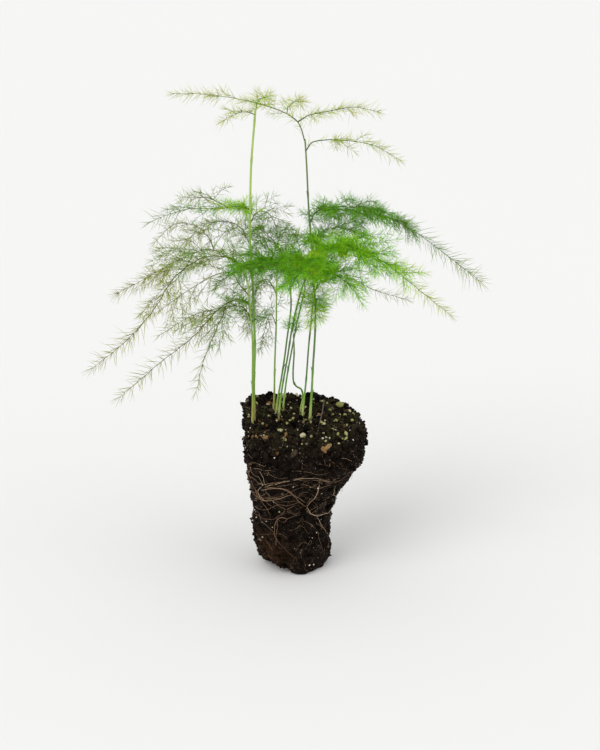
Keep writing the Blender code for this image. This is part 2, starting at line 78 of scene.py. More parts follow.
STEMS = {
    "stem_tall_left": ("crown_left", 0.45, 0.34, [
        (-11.4, 0.8, 50), (-11.2, -0.6, 60), (-10.8, -2.8, 74), (-11.0, -3.5, 88), (-11.8, -3.0, 106),
        (-11.7, -2.8, 119), (-10.9, -2.2, 134), (-9.9, -2.0, 145)]),
    "stem_left": ("crown_left", 0.32, 0.26, [
        (-11.7, -1.3, 50), (-11.5, -3.4, 60), (-11.4, -5.6, 75), (-12.0, -6.4, 88), (-12.6, -7.0, 95),
        (-14.5, -8.5, 100)]),
    "stem_back": ("crown_middle", 0.32, 0.24, [
        (-5.3, 6.2, 50), (-4.9, 6.6, 62), (-4.6, 7.4, 74), (-4.2, 8.6, 86), (-4.0, 10.0, 96)]),
    "stem_middle": ("crown_middle", 0.32, 0.26, [
        (-4.4, 3.9, 50), (-3.0, 3.9, 60), (-1.4, 4.0, 71), (0.1, 4.1, 82), (-0.1, 3.5, 89),
        (-0.9, 2.5, 96)]),
    "stem_front": ("crown_middle", 0.32, 0.26, [
        (-3.6, 2.2, 50), (-2.4, 1.0, 60), (-0.8, -1.2, 70), (1.0, -3.8, 82), (3.2, -6.6, 92),
        (5.1, -8.5, 97.5)]),
    "stem_slender": ("crown_middle", 0.30, 0.24, [
        (-2.4, 5.8, 50), (-1.4, 7.6, 58), (0.2, 9.6, 67), (1.9, 11.4, 76), (4.4, 13.5, 86)]),
    "stem_hooked": ("crown_right", 0.32, 0.25, [
        (3.1, 4.6, 50), (3.7, 4.2, 54), (3.3, 2.9, 57.2), (1.9, 0.8, 59), (1.0, -1.4, 61.4),
        (0.8, -3.1, 65.8), (1.0, -5.2, 72), (0.9, -7.0, 78)]),
    "stem_short": ("crown_right", 0.32, 0.26, [
        (3.7, 2.1, 50), (4.6, 2.2, 59), (5.4, 2.8, 70), (6.3, 3.9, 79), (6.7, 4.6, 84)]),
    "stem_tall_right": ("crown_right", 0.38, 0.27, [
        (6.0, 0.5, 50), (6.6, 0.5, 60), (7.2, 0.3, 72), (7.4, 0.2, 85), (6.7, 0.5, 97),
        (5.7, 1.3, 110), (5.1, 2.3, 123), (4.2, 3.4, 135)]),
}

# name: route; needle length, gap between tufts, needles in a tuft; side shoots as (from, to, length, gap, spread
# out of the frond's plane, droop); tint at the foot, the middle and the tip; cushions of short young shoots as
# (place along the frond, how many, length, tint). Tints run from 0 straw brown over green to 1 pale.
FRONDS = {
    "frond_top_long": ([
        (4.2, 3.4, 134.5), (2.9, 3.8, 138.8), (0.4, 4.6, 141.4), (-5, 6.2, 143.6), (-14.5, 8.5, 145.7),
        (-25, 9.8, 147), (-34, 9.6, 147.2)],
        4.5, 1.10, 4.1, (0.12, 0.76, 4.2, 2.4, 0.50, 0.05), (0.92, 0.94, 0.98), []),
    "frond_top_right": ([
        (2.3, 4.0, 140.0), (5.4, -0.6, 142.8), (10.3, -5, 144.7), (18, -10.4, 147), (24.4, -14, 146.5)],
        4.5, 1.10, 3.8, (0.12, 0.76, 4.3, 2.4, 0.50, 0.05), (0.92, 0.94, 0.98), []),
    "frond_top_low": ([
        (4.5, 3.2, 131.5), (7, 4.7, 134), (14.5, 9, 133.6), (24.5, 12.6, 131.3), (32.5, 14, 126.6)],
        4.4, 1.20, 3.8, (0.28, 0.76, 4.2, 2.5, 0.50, 0.05), (0.92, 0.95, 0.96), [(0.34, 4, 3.4, 0.92)]),
    "tuft_top_back": ([
        (-1.0, 5.2, 142.2), (-0.6, 9, 143.3), (0.8, 14, 143.8), (3.8, 20, 143.1)],
        4.4, 1.05, 3.5, (0.10, 0.90, 4.0, 2.1, 0.60, 0.05), (0.90, 0.92, 0.96), []),
    "tuft_top_left": ([
        (-9.9, -2, 143.2), (-12.6, -4.6, 144.6), (-15.6, -8.2, 144.6), (-18.5, -12, 143.6)],
        4.3, 1.05, 3.5, (0.10, 0.90, 4.0, 2.1, 0.60, 0.10), (0.90, 0.93, 0.96), []),
    "tuft_top_far": ([
        (-9.9, -2, 144.2), (-9.3, 2, 146.0), (-8.3, 8, 146.2), (-6.9, 16, 145.1)],
        4.4, 1.05, 3.5, (0.05, 0.90, 4.2, 2.1, 0.60, 0.10), (0.90, 0.93, 0.96), []),
    "frond_left_upper": ([
        (-11.8, -3, 115.5), (-15, 1.5, 115.4), (-21.7, 8, 113), (-30, 15, 111.3), (-37, 19.3, 108.5),
        (-43.8, 22.5, 105)],
        4.0, 1.60, 2.3, (0.04, 0.80, 8.0, 2.8, 0.60, 0.12), (0.78, 0.42, 0.36), [(0.07, 13, 4.2, 0.80), (0.15, 11, 4.2, 0.80), (0.23, 3, 3.4, 0.76)]),
    "spray_left_upper": ([
        (-19, 5.6, 114.2), (-21.6, 12, 113.9), (-26, 22, 113), (-34.5, 33, 110.3)],
        4.0, 1.60, 2.5, (0.10, 0.70, 7.0, 3.0, 0.60, 0.10), (0.38, 0.30, 0.22), []),
    "frond_left_far": ([
        (-22.6, -1.2, 102.6), (-24.2, 3.5, 105.0), (-29, 13, 106.5), (-36, 20.5, 104.8), (-42.3, 24, 98.3)],
        4.2, 1.60, 2.5, (0.06, 0.66, 8.0, 2.8, 0.60, 0.15), (0.30, 0.20, 0.12), []),
    "frond_left_mid": ([
        (-12.7, -7, 95.6), (-16.5, -4.4, 100.2), (-24, -1, 102.9), (-33, 0.4, 99.5), (-43, 0.3, 93.8),
        (-51.5, -1, 89.4)],
        4.9, 1.45, 3.1, (0.08, 0.80, 13.5, 2.6, 0.75, 0.22), (0.26, 0.16, 0.13), []),
    "frond_left_front": ([
        (-14.5, -8.5, 100), (-17.4, -11.4, 103.3), (-24.6, -18.4, 105.4), (-32.4, -26, 101.9),
        (-38, -32, 94.3), (-45.3, -37.5, 87), (-54.5, -42, 80.5)],
        5.1, 1.40, 2.9, (0.06, 0.56, 15.0, 2.7, 0.75, 0.30), (0.38, 0.16, 0.14), [(0.06, 4, 4.0, 0.54)]),
    "frond_left_low": ([
        (-11.6, -3.8, 86.2), (-15.2, -6.2, 89.2), (-20.9, -13.6, 88.4), (-27.7, -22, 83), (-37, -30, 77.6),
        (-47.6, -38, 70.5)],
        5.0, 1.50, 2.7, (0.08, 0.44, 10.5, 3.5, 0.80, 0.28), (0.34, 0.18, 0.18), [(0.03, 6, 8.0, 0.42)]),
    "spray_left_low": ([
        (-19.0, -12.4, 88.9), (-19.6, -14.6, 87), (-22, -18.4, 82.4), (-25.2, -22, 75), (-27.2, -24, 66.8)],
        4.4, 1.60, 2.4, (0.06, 0.50, 3.8, 4.2, 0.60, 0.20), (0.34, 0.26, 0.28), []),
    "frond_left_rear": ([
        (-12.3, -6.7, 90.4), (-15.4, -4.4, 93.8), (-17.6, 0.8, 95), (-22.6, 7, 92.8), (-31, 15, 85.8),
        (-42.1, 21, 76.4)],
        4.4, 1.65, 2.3, (0.08, 0.66, 12.0, 4.2, 0.80, 0.30), (0.26, 0.16, 0.16), []),
    "frond_left_under": ([
        (-11.3, -4, 81.5), (-14.6, -0.4, 85), (-22, 5.2, 82.6), (-31, 10.8, 78.2), (-40.8, 15, 70.8)],
        4.5, 1.60, 2.5, (0.06, 0.70, 13.0, 3.3, 0.80, 0.30), (0.30, 0.18, 0.20), [(0.05, 8, 9.5, 0.46)]),
    "frond_hanging_back": ([
        (-4.3, 8.6, 86), (-6.9, 12, 89.6), (-10.2, 16.6, 86.4), (-12.4, 20, 78.6), (-13.9, 22, 68.8)],
        4.2, 1.40, 2.8, (0.06, 0.82, 9.5, 2.2, 0.65, 0.28), (0.28, 0.20, 0.24), []),
    "spray_hanging": ([
        (-4.5, 7.6, 76.4), (-6.1, 9.8, 79.6), (-7.8, 13, 74.4), (-9.3, 15, 66.5)],
        4.0, 1.40, 2.8, (0.06, 0.86, 7.5, 1.9, 0.65, 0.26), (0.46, 0.32, 0.34), []),
    "frond_arching_back": ([
        (-12, -3, 105), (-14.4, 2.6, 108.2), (-19, 11.4, 108.2), (-24.4, 20, 105.2), (-28.7, 26, 99.4)],
        4.2, 1.50, 2.6, (0.08, 0.76, 9.0, 2.5, 0.65, 0.20), (0.40, 0.28, 0.22), []),
    "frond_over_middle": ([
        (-11.9, -3, 111.4), (-9.6, 2.6, 113.4), (-6.4, 11.4, 110.4), (-4.4, 19, 104), (-4, 23, 98.6)],
        4.1, 1.55, 2.5, (0.08, 0.76, 8.5, 2.9, 0.65, 0.20), (0.40, 0.32, 0.28), []),
    "frond_far_back": ([
        (-4.1, 9.6, 93.4), (-6.5, 15.4, 98.4), (-10.4, 24, 100.8), (-18.5, 36, 97)],
        4.1, 1.50, 2.5, (0.08, 0.76, 8.5, 2.7, 0.65, 0.20), (0.42, 0.34, 0.26), []),
    "frond_middle_left": ([
        (-4, 10, 96), (-6.8, 6.8, 98.4), (-12.3, 0, 98.6), (-21.7, -9.5, 94.6)],
        4.2, 1.10, 3.9, (0.04, 0.84, 9.5, 1.8, 0.65, 0.18), (0.47, 0.46, 0.36), [(0.25, 6, 4.5, 0.50), (0.55, 5, 4.5, 0.46)]),
    "frond_middle_back": ([
        (-0.9, 2.6, 96), (-3, 6.4, 100.4), (-6.6, 14, 103), (-9.2, 24, 103), (-11.1, 35, 99.4)],
        4.1, 1.20, 3.6, (0.05, 0.78, 9.5, 2.1, 0.65, 0.15), (0.47, 0.42, 0.34), [(0.10, 5, 4.0, 0.47)]),
    "frond_middle_front": ([
        (-0.5, 2.9, 93), (-2.6, -2.4, 99.2), (-6.7, -14, 103.4), (-10.3, -22, 103.4), (-14, -29, 100.6)],
        4.2, 1.00, 4.2, (0.04, 0.86, 11.0, 1.5, 0.60, 0.18), (0.51, 0.54, 0.48), [(0.18, 8, 4.5, 0.54), (0.45, 7, 4.5, 0.56)]),
    "frond_front": ([
        (5.1, -8.5, 97.5), (5.5, -13.4, 102), (5, -21.5, 104.6), (3.1, -29, 104.4), (-0.4, -37.5, 101.3)],
        4.2, 0.95, 5.3, (0.04, 0.86, 11.5, 1.4, 0.55, 0.18), (0.55, 0.61, 0.68), [(0.12, 10, 4.2, 0.67), (0.36, 19, 4.0, 0.82)]),
    "frond_back": ([
        (4.4, 13.5, 86), (3.8, 18.4, 92.2), (2.4, 26, 97), (1.2, 34, 98), (0.9, 42, 95.4)],
        4.1, 1.15, 3.6, (0.05, 0.78, 9.5, 2.0, 0.65, 0.15), (0.48, 0.44, 0.38), []),
    "frond_right_upper": ([
        (5.7, 1.3, 110.4), (8.6, 5.4, 113.2), (17, 12, 112.6), (28, 14.6, 109.2), (38.4, 12.6, 104.2),
        (48.3, 8.5, 97.6), (57.1, 4, 91.7)],
        4.5, 1.05, 3.7, (0.02, 0.60, 12.5, 1.45, 0.55, 0.26), (0.53, 0.47, 0.24), [(0.05, 6, 4.5, 0.56), (0.18, 5, 4.5, 0.53), (0.32, 4, 4.0, 0.50)]),
    "frond_right_front": ([
        (6.5, 0.6, 98.6), (9.6, -4.4, 104.4), (17.8, -14, 107.2), (27, -22.5, 105), (36.3, -29, 99),
        (44.8, -33.5, 93.2)],
        4.4, 1.05, 4.3, (0.02, 0.72, 13.2, 1.45, 0.50, 0.08), (0.65, 0.72, 1.12), [(0.12, 13, 4.6, 0.67), (0.24, 13, 4.6, 0.65), (0.38, 9, 4.6, 0.73)]),
    "frond_right_low": ([
        (6.7, 4.6, 84), (9, 8.2, 89.8), (17, 13.6, 90), (26.4, 17, 84.7), (35.9, 18.5, 81.4)],
        4.3, 1.45, 2.4, (0.04, 0.52, 8.0, 2.5, 0.60, 0.10), (0.54, 0.38, 0.22), []),
    "frond_right_near": ([
        (7.2, 0.3, 88.6), (9, -5.4, 96.4), (13.5, -17, 99.6), (17.4, -25, 98.4), (20.5, -31, 95.4)],
        4.2, 1.05, 4.0, (0.03, 0.80, 11.0, 1.6, 0.60, 0.12), (0.60, 0.68, 0.80), [(0.20, 7, 4.5, 0.66)]),
    "frond_right_back": ([
        (6.3, 0.8, 102), (8.5, 6.4, 105.2), (14.5, 18, 104.6), (20.4, 26, 100.8), (26, 33, 95.2)],
        4.2, 1.10, 3.7, (0.04, 0.78, 10.5, 1.8, 0.60, 0.14), (0.53, 0.49, 0.40), [(0.10, 5, 4.0, 0.53)]),
    "tuft_middle": ([
        (7.4, 0.2, 82.4), (7.9, -3.2, 88), (7.5, -8, 88.6), (7.2, -11, 83.3)],
        4.0, 0.75, 7, (0.08, 0.92, 6.0, 1.1, 0.60, 0.20), (0.68, 0.78, 0.88), []),
    "tuft_hooked": ([
        (0.9, -7, 78), (0.8, -7.7, 80.2), (1.1, -9.2, 83), (1.5, -10.4, 84.4)],
        3.1, 0.70, 5, (0.10, 0.95, 3.4, 1.0, 0.60, 0.10), (0.60, 0.66, 0.76), []),
}
OLIVE = ("left", "hanging", "arching")

# name: radius, route over the plug as (angle round it, height)
ROOTS = {
    "root_upper_runner": (0.36, [(221, 31.5), (241, 34), (252, 36), (261, 38.4), (271, 39)]),
    "root_middle_runner": (0.36, [(224, 29.6), (237, 31.2), (249, 32), (260, 30.5), (271, 28.2), (282, 26.6)]),
    "root_left_loop": (0.32, [(215, 29.8), (216, 27.2), (226, 25.8), (242, 27.6), (255, 28.6)]),
    "root_right_upper": (0.36, [(278, 36.4), (291, 36.2), (307, 35.8)]),
    "root_wandering": (0.34, [
        (290, 33.7), (291, 30.3), (288.5, 27.4), (286, 24.8), (288, 22.8), (295, 21.7), (312, 20.6), (334, 20.2)]),
    "root_falling": (0.26, [(307, 18.6), (318, 16), (332, 12.6)]),
    "root_low_flat": (0.45, [(246, 20.6), (249, 16.5), (248, 11)]),
    "root_low_runner": (0.28, [(253, 21.8), (262, 23.8), (271, 25.2)]),
}


# ------------------------------------------------------------------ geometry helpers
def seeded(name):
    return np.random.default_rng(zlib.crc32(name.encode()))


def unit(v):
    return v / np.maximum(np.linalg.norm(v, axis=-1, keepdims=True), 1e-12)


def curve_through(points, step):
    """Points about step apart on a Catmull-Rom curve through the given ones."""
    p = np.asarray(points, float)
    p = np.vstack([2 * p[0] - p[1], p, 2 * p[-1] - p[-2]])
    t = np.linspace(0, 1, 16, endpoint=False)[:, None]
    fine = []
    for a, b, c, d in zip(p, p[1:], p[2:], p[3:]):
        fine.append(0.5 * (2 * b + (c - a) * t + (2 * a - 5 * b + 4 * c - d) * t ** 2
                           + (3 * b - 3 * c + d - a) * t ** 3))
    fine = np.vstack(fine + [p[-2]])
    run = np.concatenate([[0], np.cumsum(np.linalg.norm(np.diff(fine, axis=0), axis=1))])
    want = np.linspace(0, run[-1], max(2, int(round(run[-1] / step))) + 1)
    return np.stack([np.interp(want, run, fine[:, k]) for k in range(p.shape[1])], 1)


def lengths_along(line):
    return np.concatenate([[0], np.cumsum(np.linalg.norm(np.diff(line, axis=0), axis=1))])


def tangents(line):
    return unit(np.gradient(line, axis=0))


class Pile:
    """Collects points, faces and palette places, and turns them into one mesh object."""

    def __init__(self):
        self.points, self.quads, self.tris, self.places, self.count = [], [], [], [], 0

    def add(self, points, quads=None, tris=None, places=None):
        self.points.append(points)
        self.places.append(places if places is not None else np.zeros((len(points), 2)))
        if quads is not None and len(quads):
            self.quads.append(np.asarray(quads) + self.count)
        if tris is not None and len(tris):
            self.tris.append(np.asarray(tris) + self.count)
        self.count += len(points)

    def tube(self, line, radii, sides, place, spread=0.02, v=(0.70, 0.98)):
        """A closed tube. place is its u on the palette, v the range along it."""
        line, radii = np.asarray(line, float), np.asarray(radii, float)
        n = len(line)
        t = tangents(line)
        ref = np.array([0.0, 0.0, 1.0]) if abs(t[0, 2]) < 0.8 else np.array([1.0, 0.0, 0.0])
        side = unit(np.cross(t[0], ref))
        turn = np.arange(sides) * TAU / sides
        rings = []
        for k in range(n):
            side = unit(side - t[k] * (side @ t[k]))
            up = np.cross(side, t[k])
            rings.append(line[k] + radii[k] * (np.cos(turn)[:, None] * side + np.sin(turn)[:, None] * up))
        points = np.vstack(rings + [line[0] - t[0] * radii[0] * 0.4, line[-1] + t[-1] * radii[-1] * 0.6])
        k, j = np.meshgrid(np.arange(n - 1), np.arange(sides), indexing="ij")
        nxt = (j + 1) % sides
        quads = np.stack([k * sides + j, k * sides + nxt, (k + 1) * sides + nxt, (k + 1) * sides + j], -1).reshape(-1, 4)
        ring = np.arange(sides)
        low = np.stack([np.full(sides, n * sides), (ring + 1) % sides, ring], 1)
        last = (n - 1) * sides
        high = np.stack([np.full(sides, n * sides + 1), last + ring, last + (ring + 1) % sides], 1)
        run = lengths_along(line)
        along = v[0] + (v[1] - v[0]) * run / run[-1] if len(v) == 2 else np.asarray(v)
        v = (along[0], along[-1])
        u = place + spread * (np.abs(2 * ring / sides - 1) - 0.5)
        places = np.stack([np.tile(u, n), np.repeat(along, sides)], 1)
        places = np.vstack([places, [[place, v[0] - 0.004], [place, v[1] + 0.004]]])
        self.add(points, quads, np.vstack([low, high]), places.clip(0.001, 0.999))

    def needles(self, base, way, bend, length, radius, tint):
        """Three-sided tapered needles, one per row of the arrays."""
        n = len(base)
        if not n:
            return
        way = unit(way)
        ref = np.where(np.abs(way[:, 2:3]) < 0.9, [[0.0, 0.0, 1.0]], [[1.0, 0.0, 0.0]])
        side = unit(np.cross(way, ref))
        up = np.cross(side, way)
        middle = base + way * length[:, None] * 0.5 + bend * length[:, None] * 0.25
        tip = base + way * length[:, None] + bend * length[:, None]
        rows = []
        for centre, share in ((base, 0.75), (middle, 1.0)):
            for k in range(3):
                a = TAU * k / 3 + 0.4
                rows.append(centre + (side * math.cos(a) + up * math.sin(a)) * (radius * share)[:, None])
        rows.append(tip)
        points = np.stack(rows, 1).reshape(-1, 3)
        at = np.arange(n)[:, None] * 7
        quads = np.concatenate([at + [k, (k + 1) % 3, 3 + (k + 1) % 3, 3 + k] for k in range(3)])
        tris = np.concatenate([at + [3 + k, 3 + (k + 1) % 3, 6] for k in range(3)] + [at + [2, 1, 0]])
        u = np.stack([tint - 0.012, tint + 0.012, tint] * 2 + [tint], 1)
        v = np.broadcast_to([0.02, 0.02, 0.02, 0.31, 0.31, 0.31, 0.60], (n, 7))
        self.add(points, quads, tris, np.stack([u, v], -1).reshape(-1, 2).clip(0.001, 0.999))

    def make(self, name, material, smooth=True):
        points = np.concatenate(self.points)
        places = np.concatenate(self.places)
        quads = np.concatenate(self.quads) if self.quads else np.zeros((0, 4), int)
        tris = np.concatenate(self.tris) if self.tris else np.zeros((0, 3), int)
        mesh = bpy.data.meshes.new(name)
        mesh.vertices.add(len(points))
        mesh.vertices.foreach_set("co", (points * MM).astype(np.float32).ravel())
        loops = np.concatenate([quads.ravel(), tris.ravel()]).astype(np.int32)
        mesh.loops.add(len(loops))
        mesh.loops.foreach_set("vertex_index", loops)
        starts = np.concatenate([np.arange(len(quads)) * 4, len(quads) * 4 + np.arange(len(tris)) * 3])
        mesh.polygons.add(len(starts))
        mesh.polygons.foreach_set("loop_start", starts.astype(np.int32))
        mesh.update(calc_edges=True)
        layer = mesh.uv_layers.new(name="OFBake")
        layer.uv.foreach_set("vector", places[loops].astype(np.float32).ravel())
        mesh.validate()
        (mesh.shade_smooth if smooth else mesh.shade_flat)()
        obj = bpy.data.objects.new(name, mesh)
        bpy.context.scene.collection.objects.link(obj)
        mesh.materials.append(material)
        return obj


# ------------------------------------------------------------------ materials
class Nodes:
    def __init__(self, name, roughness=0.6):
        self.material = bpy.data.materials.new(name)
        self.material.use_nodes = True
        self.tree = self.material.node_tree
        self.shader = self.tree.nodes["Principled BSDF"]
        self.shader.inputs["Roughness"].default_value = roughness

    def node(self, kind, **values):
        made = self.tree.nodes.new(kind)
        for key, value in values.items():
            if key.startswith("in_"):
                socket = made.inputs[int(key[3:])] if key[3:].isdigit() else made.inputs[key[3:].replace("_", " ")]
                if isinstance(value, bpy.types.NodeSocket):
                    self.tree.links.new(value, socket)
                else:
                    socket.default_value = value
            else:
                setattr(made, key, value)
        return made

    def ramp(self, factor, stops, mode="LINEAR"):
        made = self.node("ShaderNodeValToRGB", in_0=factor)
        made.color_ramp.interpolation = mode
        first, last = made.color_ramp.elements
        first.position, first.color = stops[0][0], (*stops[0][1], 1)
        last.position, last.color = stops[-1][0], (*stops[-1][1], 1)
        for place, colour in stops[1:-1]:
            made.color_ramp.elements.new(place).color = (*colour, 1)
        return made.outputs["Color"]

    def mix(self, factor, a, b, how="MIX"):
        made = self.node("ShaderNodeMix", data_type="RGBA", blend_type=how)
        for socket, value in ((made.inputs[0], factor), (made.inputs[6], a), (made.inputs[7], b)):
            if isinstance(value, bpy.types.NodeSocket):
                self.tree.links.new(value, socket)
            elif isinstance(value, tuple):
                socket.default_value = (*value, 1)
            else:
                socket.default_value = value
        return made.outputs[2]

    def span(self, value, low, high, to_low=0.0, to_high=1.0):
        made = self.node("ShaderNodeMapRange", in_0=value, in_1=low, in_2=high, in_3=to_low, in_4=to_high)
        return made.outputs[0]

    def maths(self, how, a, b=0.0):
        made = self.node("ShaderNodeMath", operation=how)
        for socket, value in zip(made.inputs, (a, b)):
            if isinstance(value, bpy.types.NodeSocket):
                self.tree.links.new(value, socket)
            else:
                socket.default_value = value
        return made.outputs[0]

    def noise(self, scale, detail=3.0, rough=0.6, vector=None):
        made = self.node("ShaderNodeTexNoise", in_Scale=scale, in_Detail=detail, in_Roughness=rough)
        if vector is not None:
            self.tree.links.new(vector, made.inputs["Vector"])
        return made.outputs["Fac"]

    def colour(self, socket):
        self.tree.links.new(socket, self.shader.inputs["Base Color"])

    def palette(self):
        uv = self.node("ShaderNodeUVMap", uv_map="OFBake")
        split = self.node("ShaderNodeSeparateXYZ", in_0=uv.outputs[0])
        return split.outputs[0], split.outputs[1]

    def bump(self, height, strength, distance):
        made = self.node("ShaderNodeBump", in_Strength=strength, in_Distance=distance, in_Height=height)
        self.tree.links.new(made.outputs[0], self.shader.inputs["Normal"])


def foliage(name, needle, tip, bark, roughness):
    """Colour by place on the palette: u is the tint, v runs along a needle and, above 0.65, along a branch."""
    made = Nodes(name, roughness)
    u, v = made.palette()
    body = made.ramp(u, needle)
    ends = made.ramp(u, tip)
    wood = made.ramp(u, bark)
    leaf = made.mix(made.span(v, 0.10, 0.58), body, ends)
    young = made.mix(made.span(v, 0.84, 0.98), wood, body)
    made.colour(made.mix(made.span(v, 0.64, 0.66), leaf, young))
    made.shader.inputs["Specular IOR Level"].default_value = 0.12
    return made.material


NEEDLE = [(0.0, (0.275, 0.250, 0.026)), (0.22, (0.235, 0.285, 0.006)), (0.40, (0.115, 0.255, 0.004)),
          (0.52, (0.075, 0.275, 0.005)), (0.66, (0.125, 0.430, 0.005)), (0.83, (0.310, 0.700, 0.005)),
          (0.92, (0.460, 0.550, 0.020)), (1.0, (0.420, 0.440, 0.035))]
NEEDLE_TIP = [(0.0, (0.45, 0.42, 0.070)), (0.22, (0.43, 0.49, 0.022)), (0.40, (0.22, 0.39, 0.014)),
              (0.52, (0.16, 0.45, 0.009)), (0.66, (0.24, 0.62, 0.008)), (0.83, (0.47, 0.78, 0.012)),
              (0.92, (0.62, 0.68, 0.060)), (1.0, (0.56, 0.57, 0.080))]
TWIG_BARK = [(0.0, (0.090, 0.072, 0.012)), (0.30, (0.092, 0.108, 0.011)), (0.50, (0.050, 0.120, 0.011)),
             (0.70, (0.085, 0.230, 0.012)), (0.85, (0.190, 0.340, 0.020)), (1.0, (0.150, 0.165, 0.045))]

foliage_green = foliage("fern_needles", NEEDLE, NEEDLE_TIP, TWIG_BARK, 0.50)
foliage_olive = foliage("fern_needles_olive", NEEDLE, NEEDLE_TIP, TWIG_BARK, 0.58)


def stem_material(name, along):
    made = Nodes(name, 0.42)
    _, v = made.palette()
    colour = made.ramp(v, along)
    place = made.node("ShaderNodeTexCoord").outputs["Object"]
    stretched = made.node("ShaderNodeMapping", in_Vector=place)
    stretched.inputs["Scale"].default_value = (1, 1, 0.06)
    streak = made.noise(2600.0, 4.0, 0.6, stretched.outputs[0])
    fleck = made.noise(420.0, 3.0, 0.6, place)
    colour = made.mix(made.span(streak, 0.40, 0.72, 0.0, 0.35), colour, (0.07, 0.16, 0.020), "MIX")
    colour = made.mix(made.span(fleck, 0.54, 0.74, 0.0, 0.30), colour, (0.42, 0.48, 0.12), "MIX")
    made.colour(colour)
    made.bump(streak, 0.25, 0.0001)
    return made.material


stem_pale = stem_material("stem_pale", [
    (0.0, (0.34, 0.27, 0.09)), (0.07, (0.36, 0.31, 0.085)), (0.12, (0.30, 0.34, 0.060)), (0.19, (0.20, 0.35, 0.045)),
    (0.62, (0.20, 0.40, 0.050)), (0.74, (0.36, 0.54, 0.10)), (1.0, (0.40, 0.54, 0.13))])
stem_dark = stem_material("stem_dark", [
    (0.0, (0.52, 0.52, 0.24)), (0.08, (0.40, 0.50, 0.13)), (0.15, (0.16, 0.36, 0.030)), (0.30, (0.085, 0.200, 0.034)),
    (0.60, (0.080, 0.175, 0.034)), (1.0, (0.140, 0.190, 0.060))])


def sheath_material():
    made = Nodes("crown_sheath", 0.65)
    u, v = made.palette()
    place = made.node("ShaderNodeTexCoord").outputs["Object"]
    colour = made.ramp(v, [(0.0, (0.050, 0.030, 0.016)), (0.40, (0.16, 0.12, 0.050)), (0.62, (0.34, 0.40, 0.10)),
                           (1.0, (0.46, 0.48, 0.18))])
    grain = made.noise(1800.0, 4.0, 0.65, place)
    colour = made.mix(made.span(grain, 0.4, 0.7, 0.0, 0.6), colour, (0.14, 0.085, 0.040), "MIX")
    made.colour(colour)
    made.bump(grain, 0.3, 0.0001)
    return made.material


sheath = sheath_material()


def soil_material():
    made = Nodes("soil", 0.8)
    made.shader.inputs["Specular IOR Level"].default_value = 0.03
    place = made.node("ShaderNodeTexCoord").outputs["Object"]
    coarse = made.noise(140.0, 4.0, 0.6, place)
    fine = made.noise(900.0, 5.0, 0.7, place)
    speck = made.noise(2600.0, 2.0, 0.5, place)
    dark = made.mix(made.span(coarse, 0.35, 0.66), (0.0018, 0.0012, 0.0009), (0.0095, 0.0060, 0.0043))
    colour = made.mix(made.span(fine, 0.50, 0.76), dark, (0.028, 0.0185, 0.0120))
    colour = made.mix(made.span(speck, 0.66, 0.74), colour, (0.15, 0.12, 0.085))
    spot = made.node("ShaderNodeVectorMath", operation="DISTANCE", in_0=place)
    spot.inputs[1].default_value = (-0.0075, -0.0085, 0.006)
    rusty = made.span(spot.outputs["Value"], 0.004, 0.011, 0.75, 0.0)
    colour = made.mix(made.maths("MULTIPLY", rusty, made.span(fine, 0.30, 0.60)), colour, (0.038, 0.017, 0.006))
    height = made.node("ShaderNodeSeparateXYZ", in_0=place).outputs[2]
    algae = made.maths("MULTIPLY", made.span(height, 0.043, 0.047), made.span(coarse, 0.42, 0.62, 0.0, 0.55))
    colour = made.mix(algae, colour, (0.040, 0.040, 0.013))
    made.colour(colour)
    rough = made.span(made.noise(500.0, 3.0, 0.6, place), 0.40, 0.62, 0.32, 0.92)
    made.tree.links.new(rough, made.shader.inputs["Roughness"])
    made.bump(made.maths("ADD", fine, made.maths("MULTIPLY", speck, 0.5)), 0.7, 0.0004)
    return made.material


soil = soil_material()


def palette_material(name, stops, roughness, fleck=None, gloss=0.04):
    """Colour by u on the palette, with a grain in the object's own space."""
    made = Nodes(name, roughness)
    made.shader.inputs["Specular IOR Level"].default_value = gloss
    u, _ = made.palette()
    colour = made.ramp(u, stops)
    grain = made.noise(1500.0, 3.0, 0.65, made.node("ShaderNodeTexCoord").outputs["Object"])
    colour = made.mix(made.span(grain, 0.42, 0.68, 0.0, 0.55), colour, fleck or (0.0050, 0.0031, 0.0022))
    made.colour(colour)
    made.bump(grain, 0.35, 0.0002)
    return made.material


# crumb colours from near-black peat to pale; the palest end also serves as painted glints on the wet crumbs
crumb_mat = palette_material("soil_crumbs", [
    (0.0, (0.0012, 0.0008, 0.0006)), (0.30, (0.0048, 0.0031, 0.0022)), (0.55, (0.0135, 0.0086, 0.0060)),
    (0.75, (0.034, 0.022, 0.0145)), (0.90, (0.085, 0.060, 0.040)), (1.0, (0.19, 0.150, 0.105))], 0.62)
# pale sand grains; the lightest tints are painted glints of wet soil, on top of the material's own gloss
sand_glint_mat = palette_material("sand", [
    (0.0, (0.020, 0.014, 0.010)), (0.60, (0.075, 0.056, 0.038)), (0.80, (0.19, 0.155, 0.110)), (1.0, (0.50, 0.46, 0.38))],
    0.45, (0.06, 0.045, 0.032), 0.5)
root_mat = palette_material("roots", [
    (0.0, (0.055, 0.028, 0.013)), (0.40, (0.14, 0.078, 0.038)), (0.75, (0.33, 0.205, 0.112)), (1.0, (0.58, 0.45, 0.30))],
    0.50, (0.070, 0.036, 0.018), 0.30)
grain_mat = palette_material("perlite_grains", [
    (0.0, (0.19, 0.20, 0.050)), (0.30, (0.31, 0.32, 0.110)), (0.60, (0.44, 0.40, 0.22)), (0.85, (0.60, 0.56, 0.42)),
    (1.0, (0.78, 0.76, 0.66))], 0.80, (0.22, 0.19, 0.085))
twig_mat = palette_material("dry_twig", [
    (0.0, (0.070, 0.048, 0.044)), (0.5, (0.130, 0.098, 0.092)), (1.0, (0.24, 0.19, 0.17))], 0.70, (0.045, 0.030, 0.026))
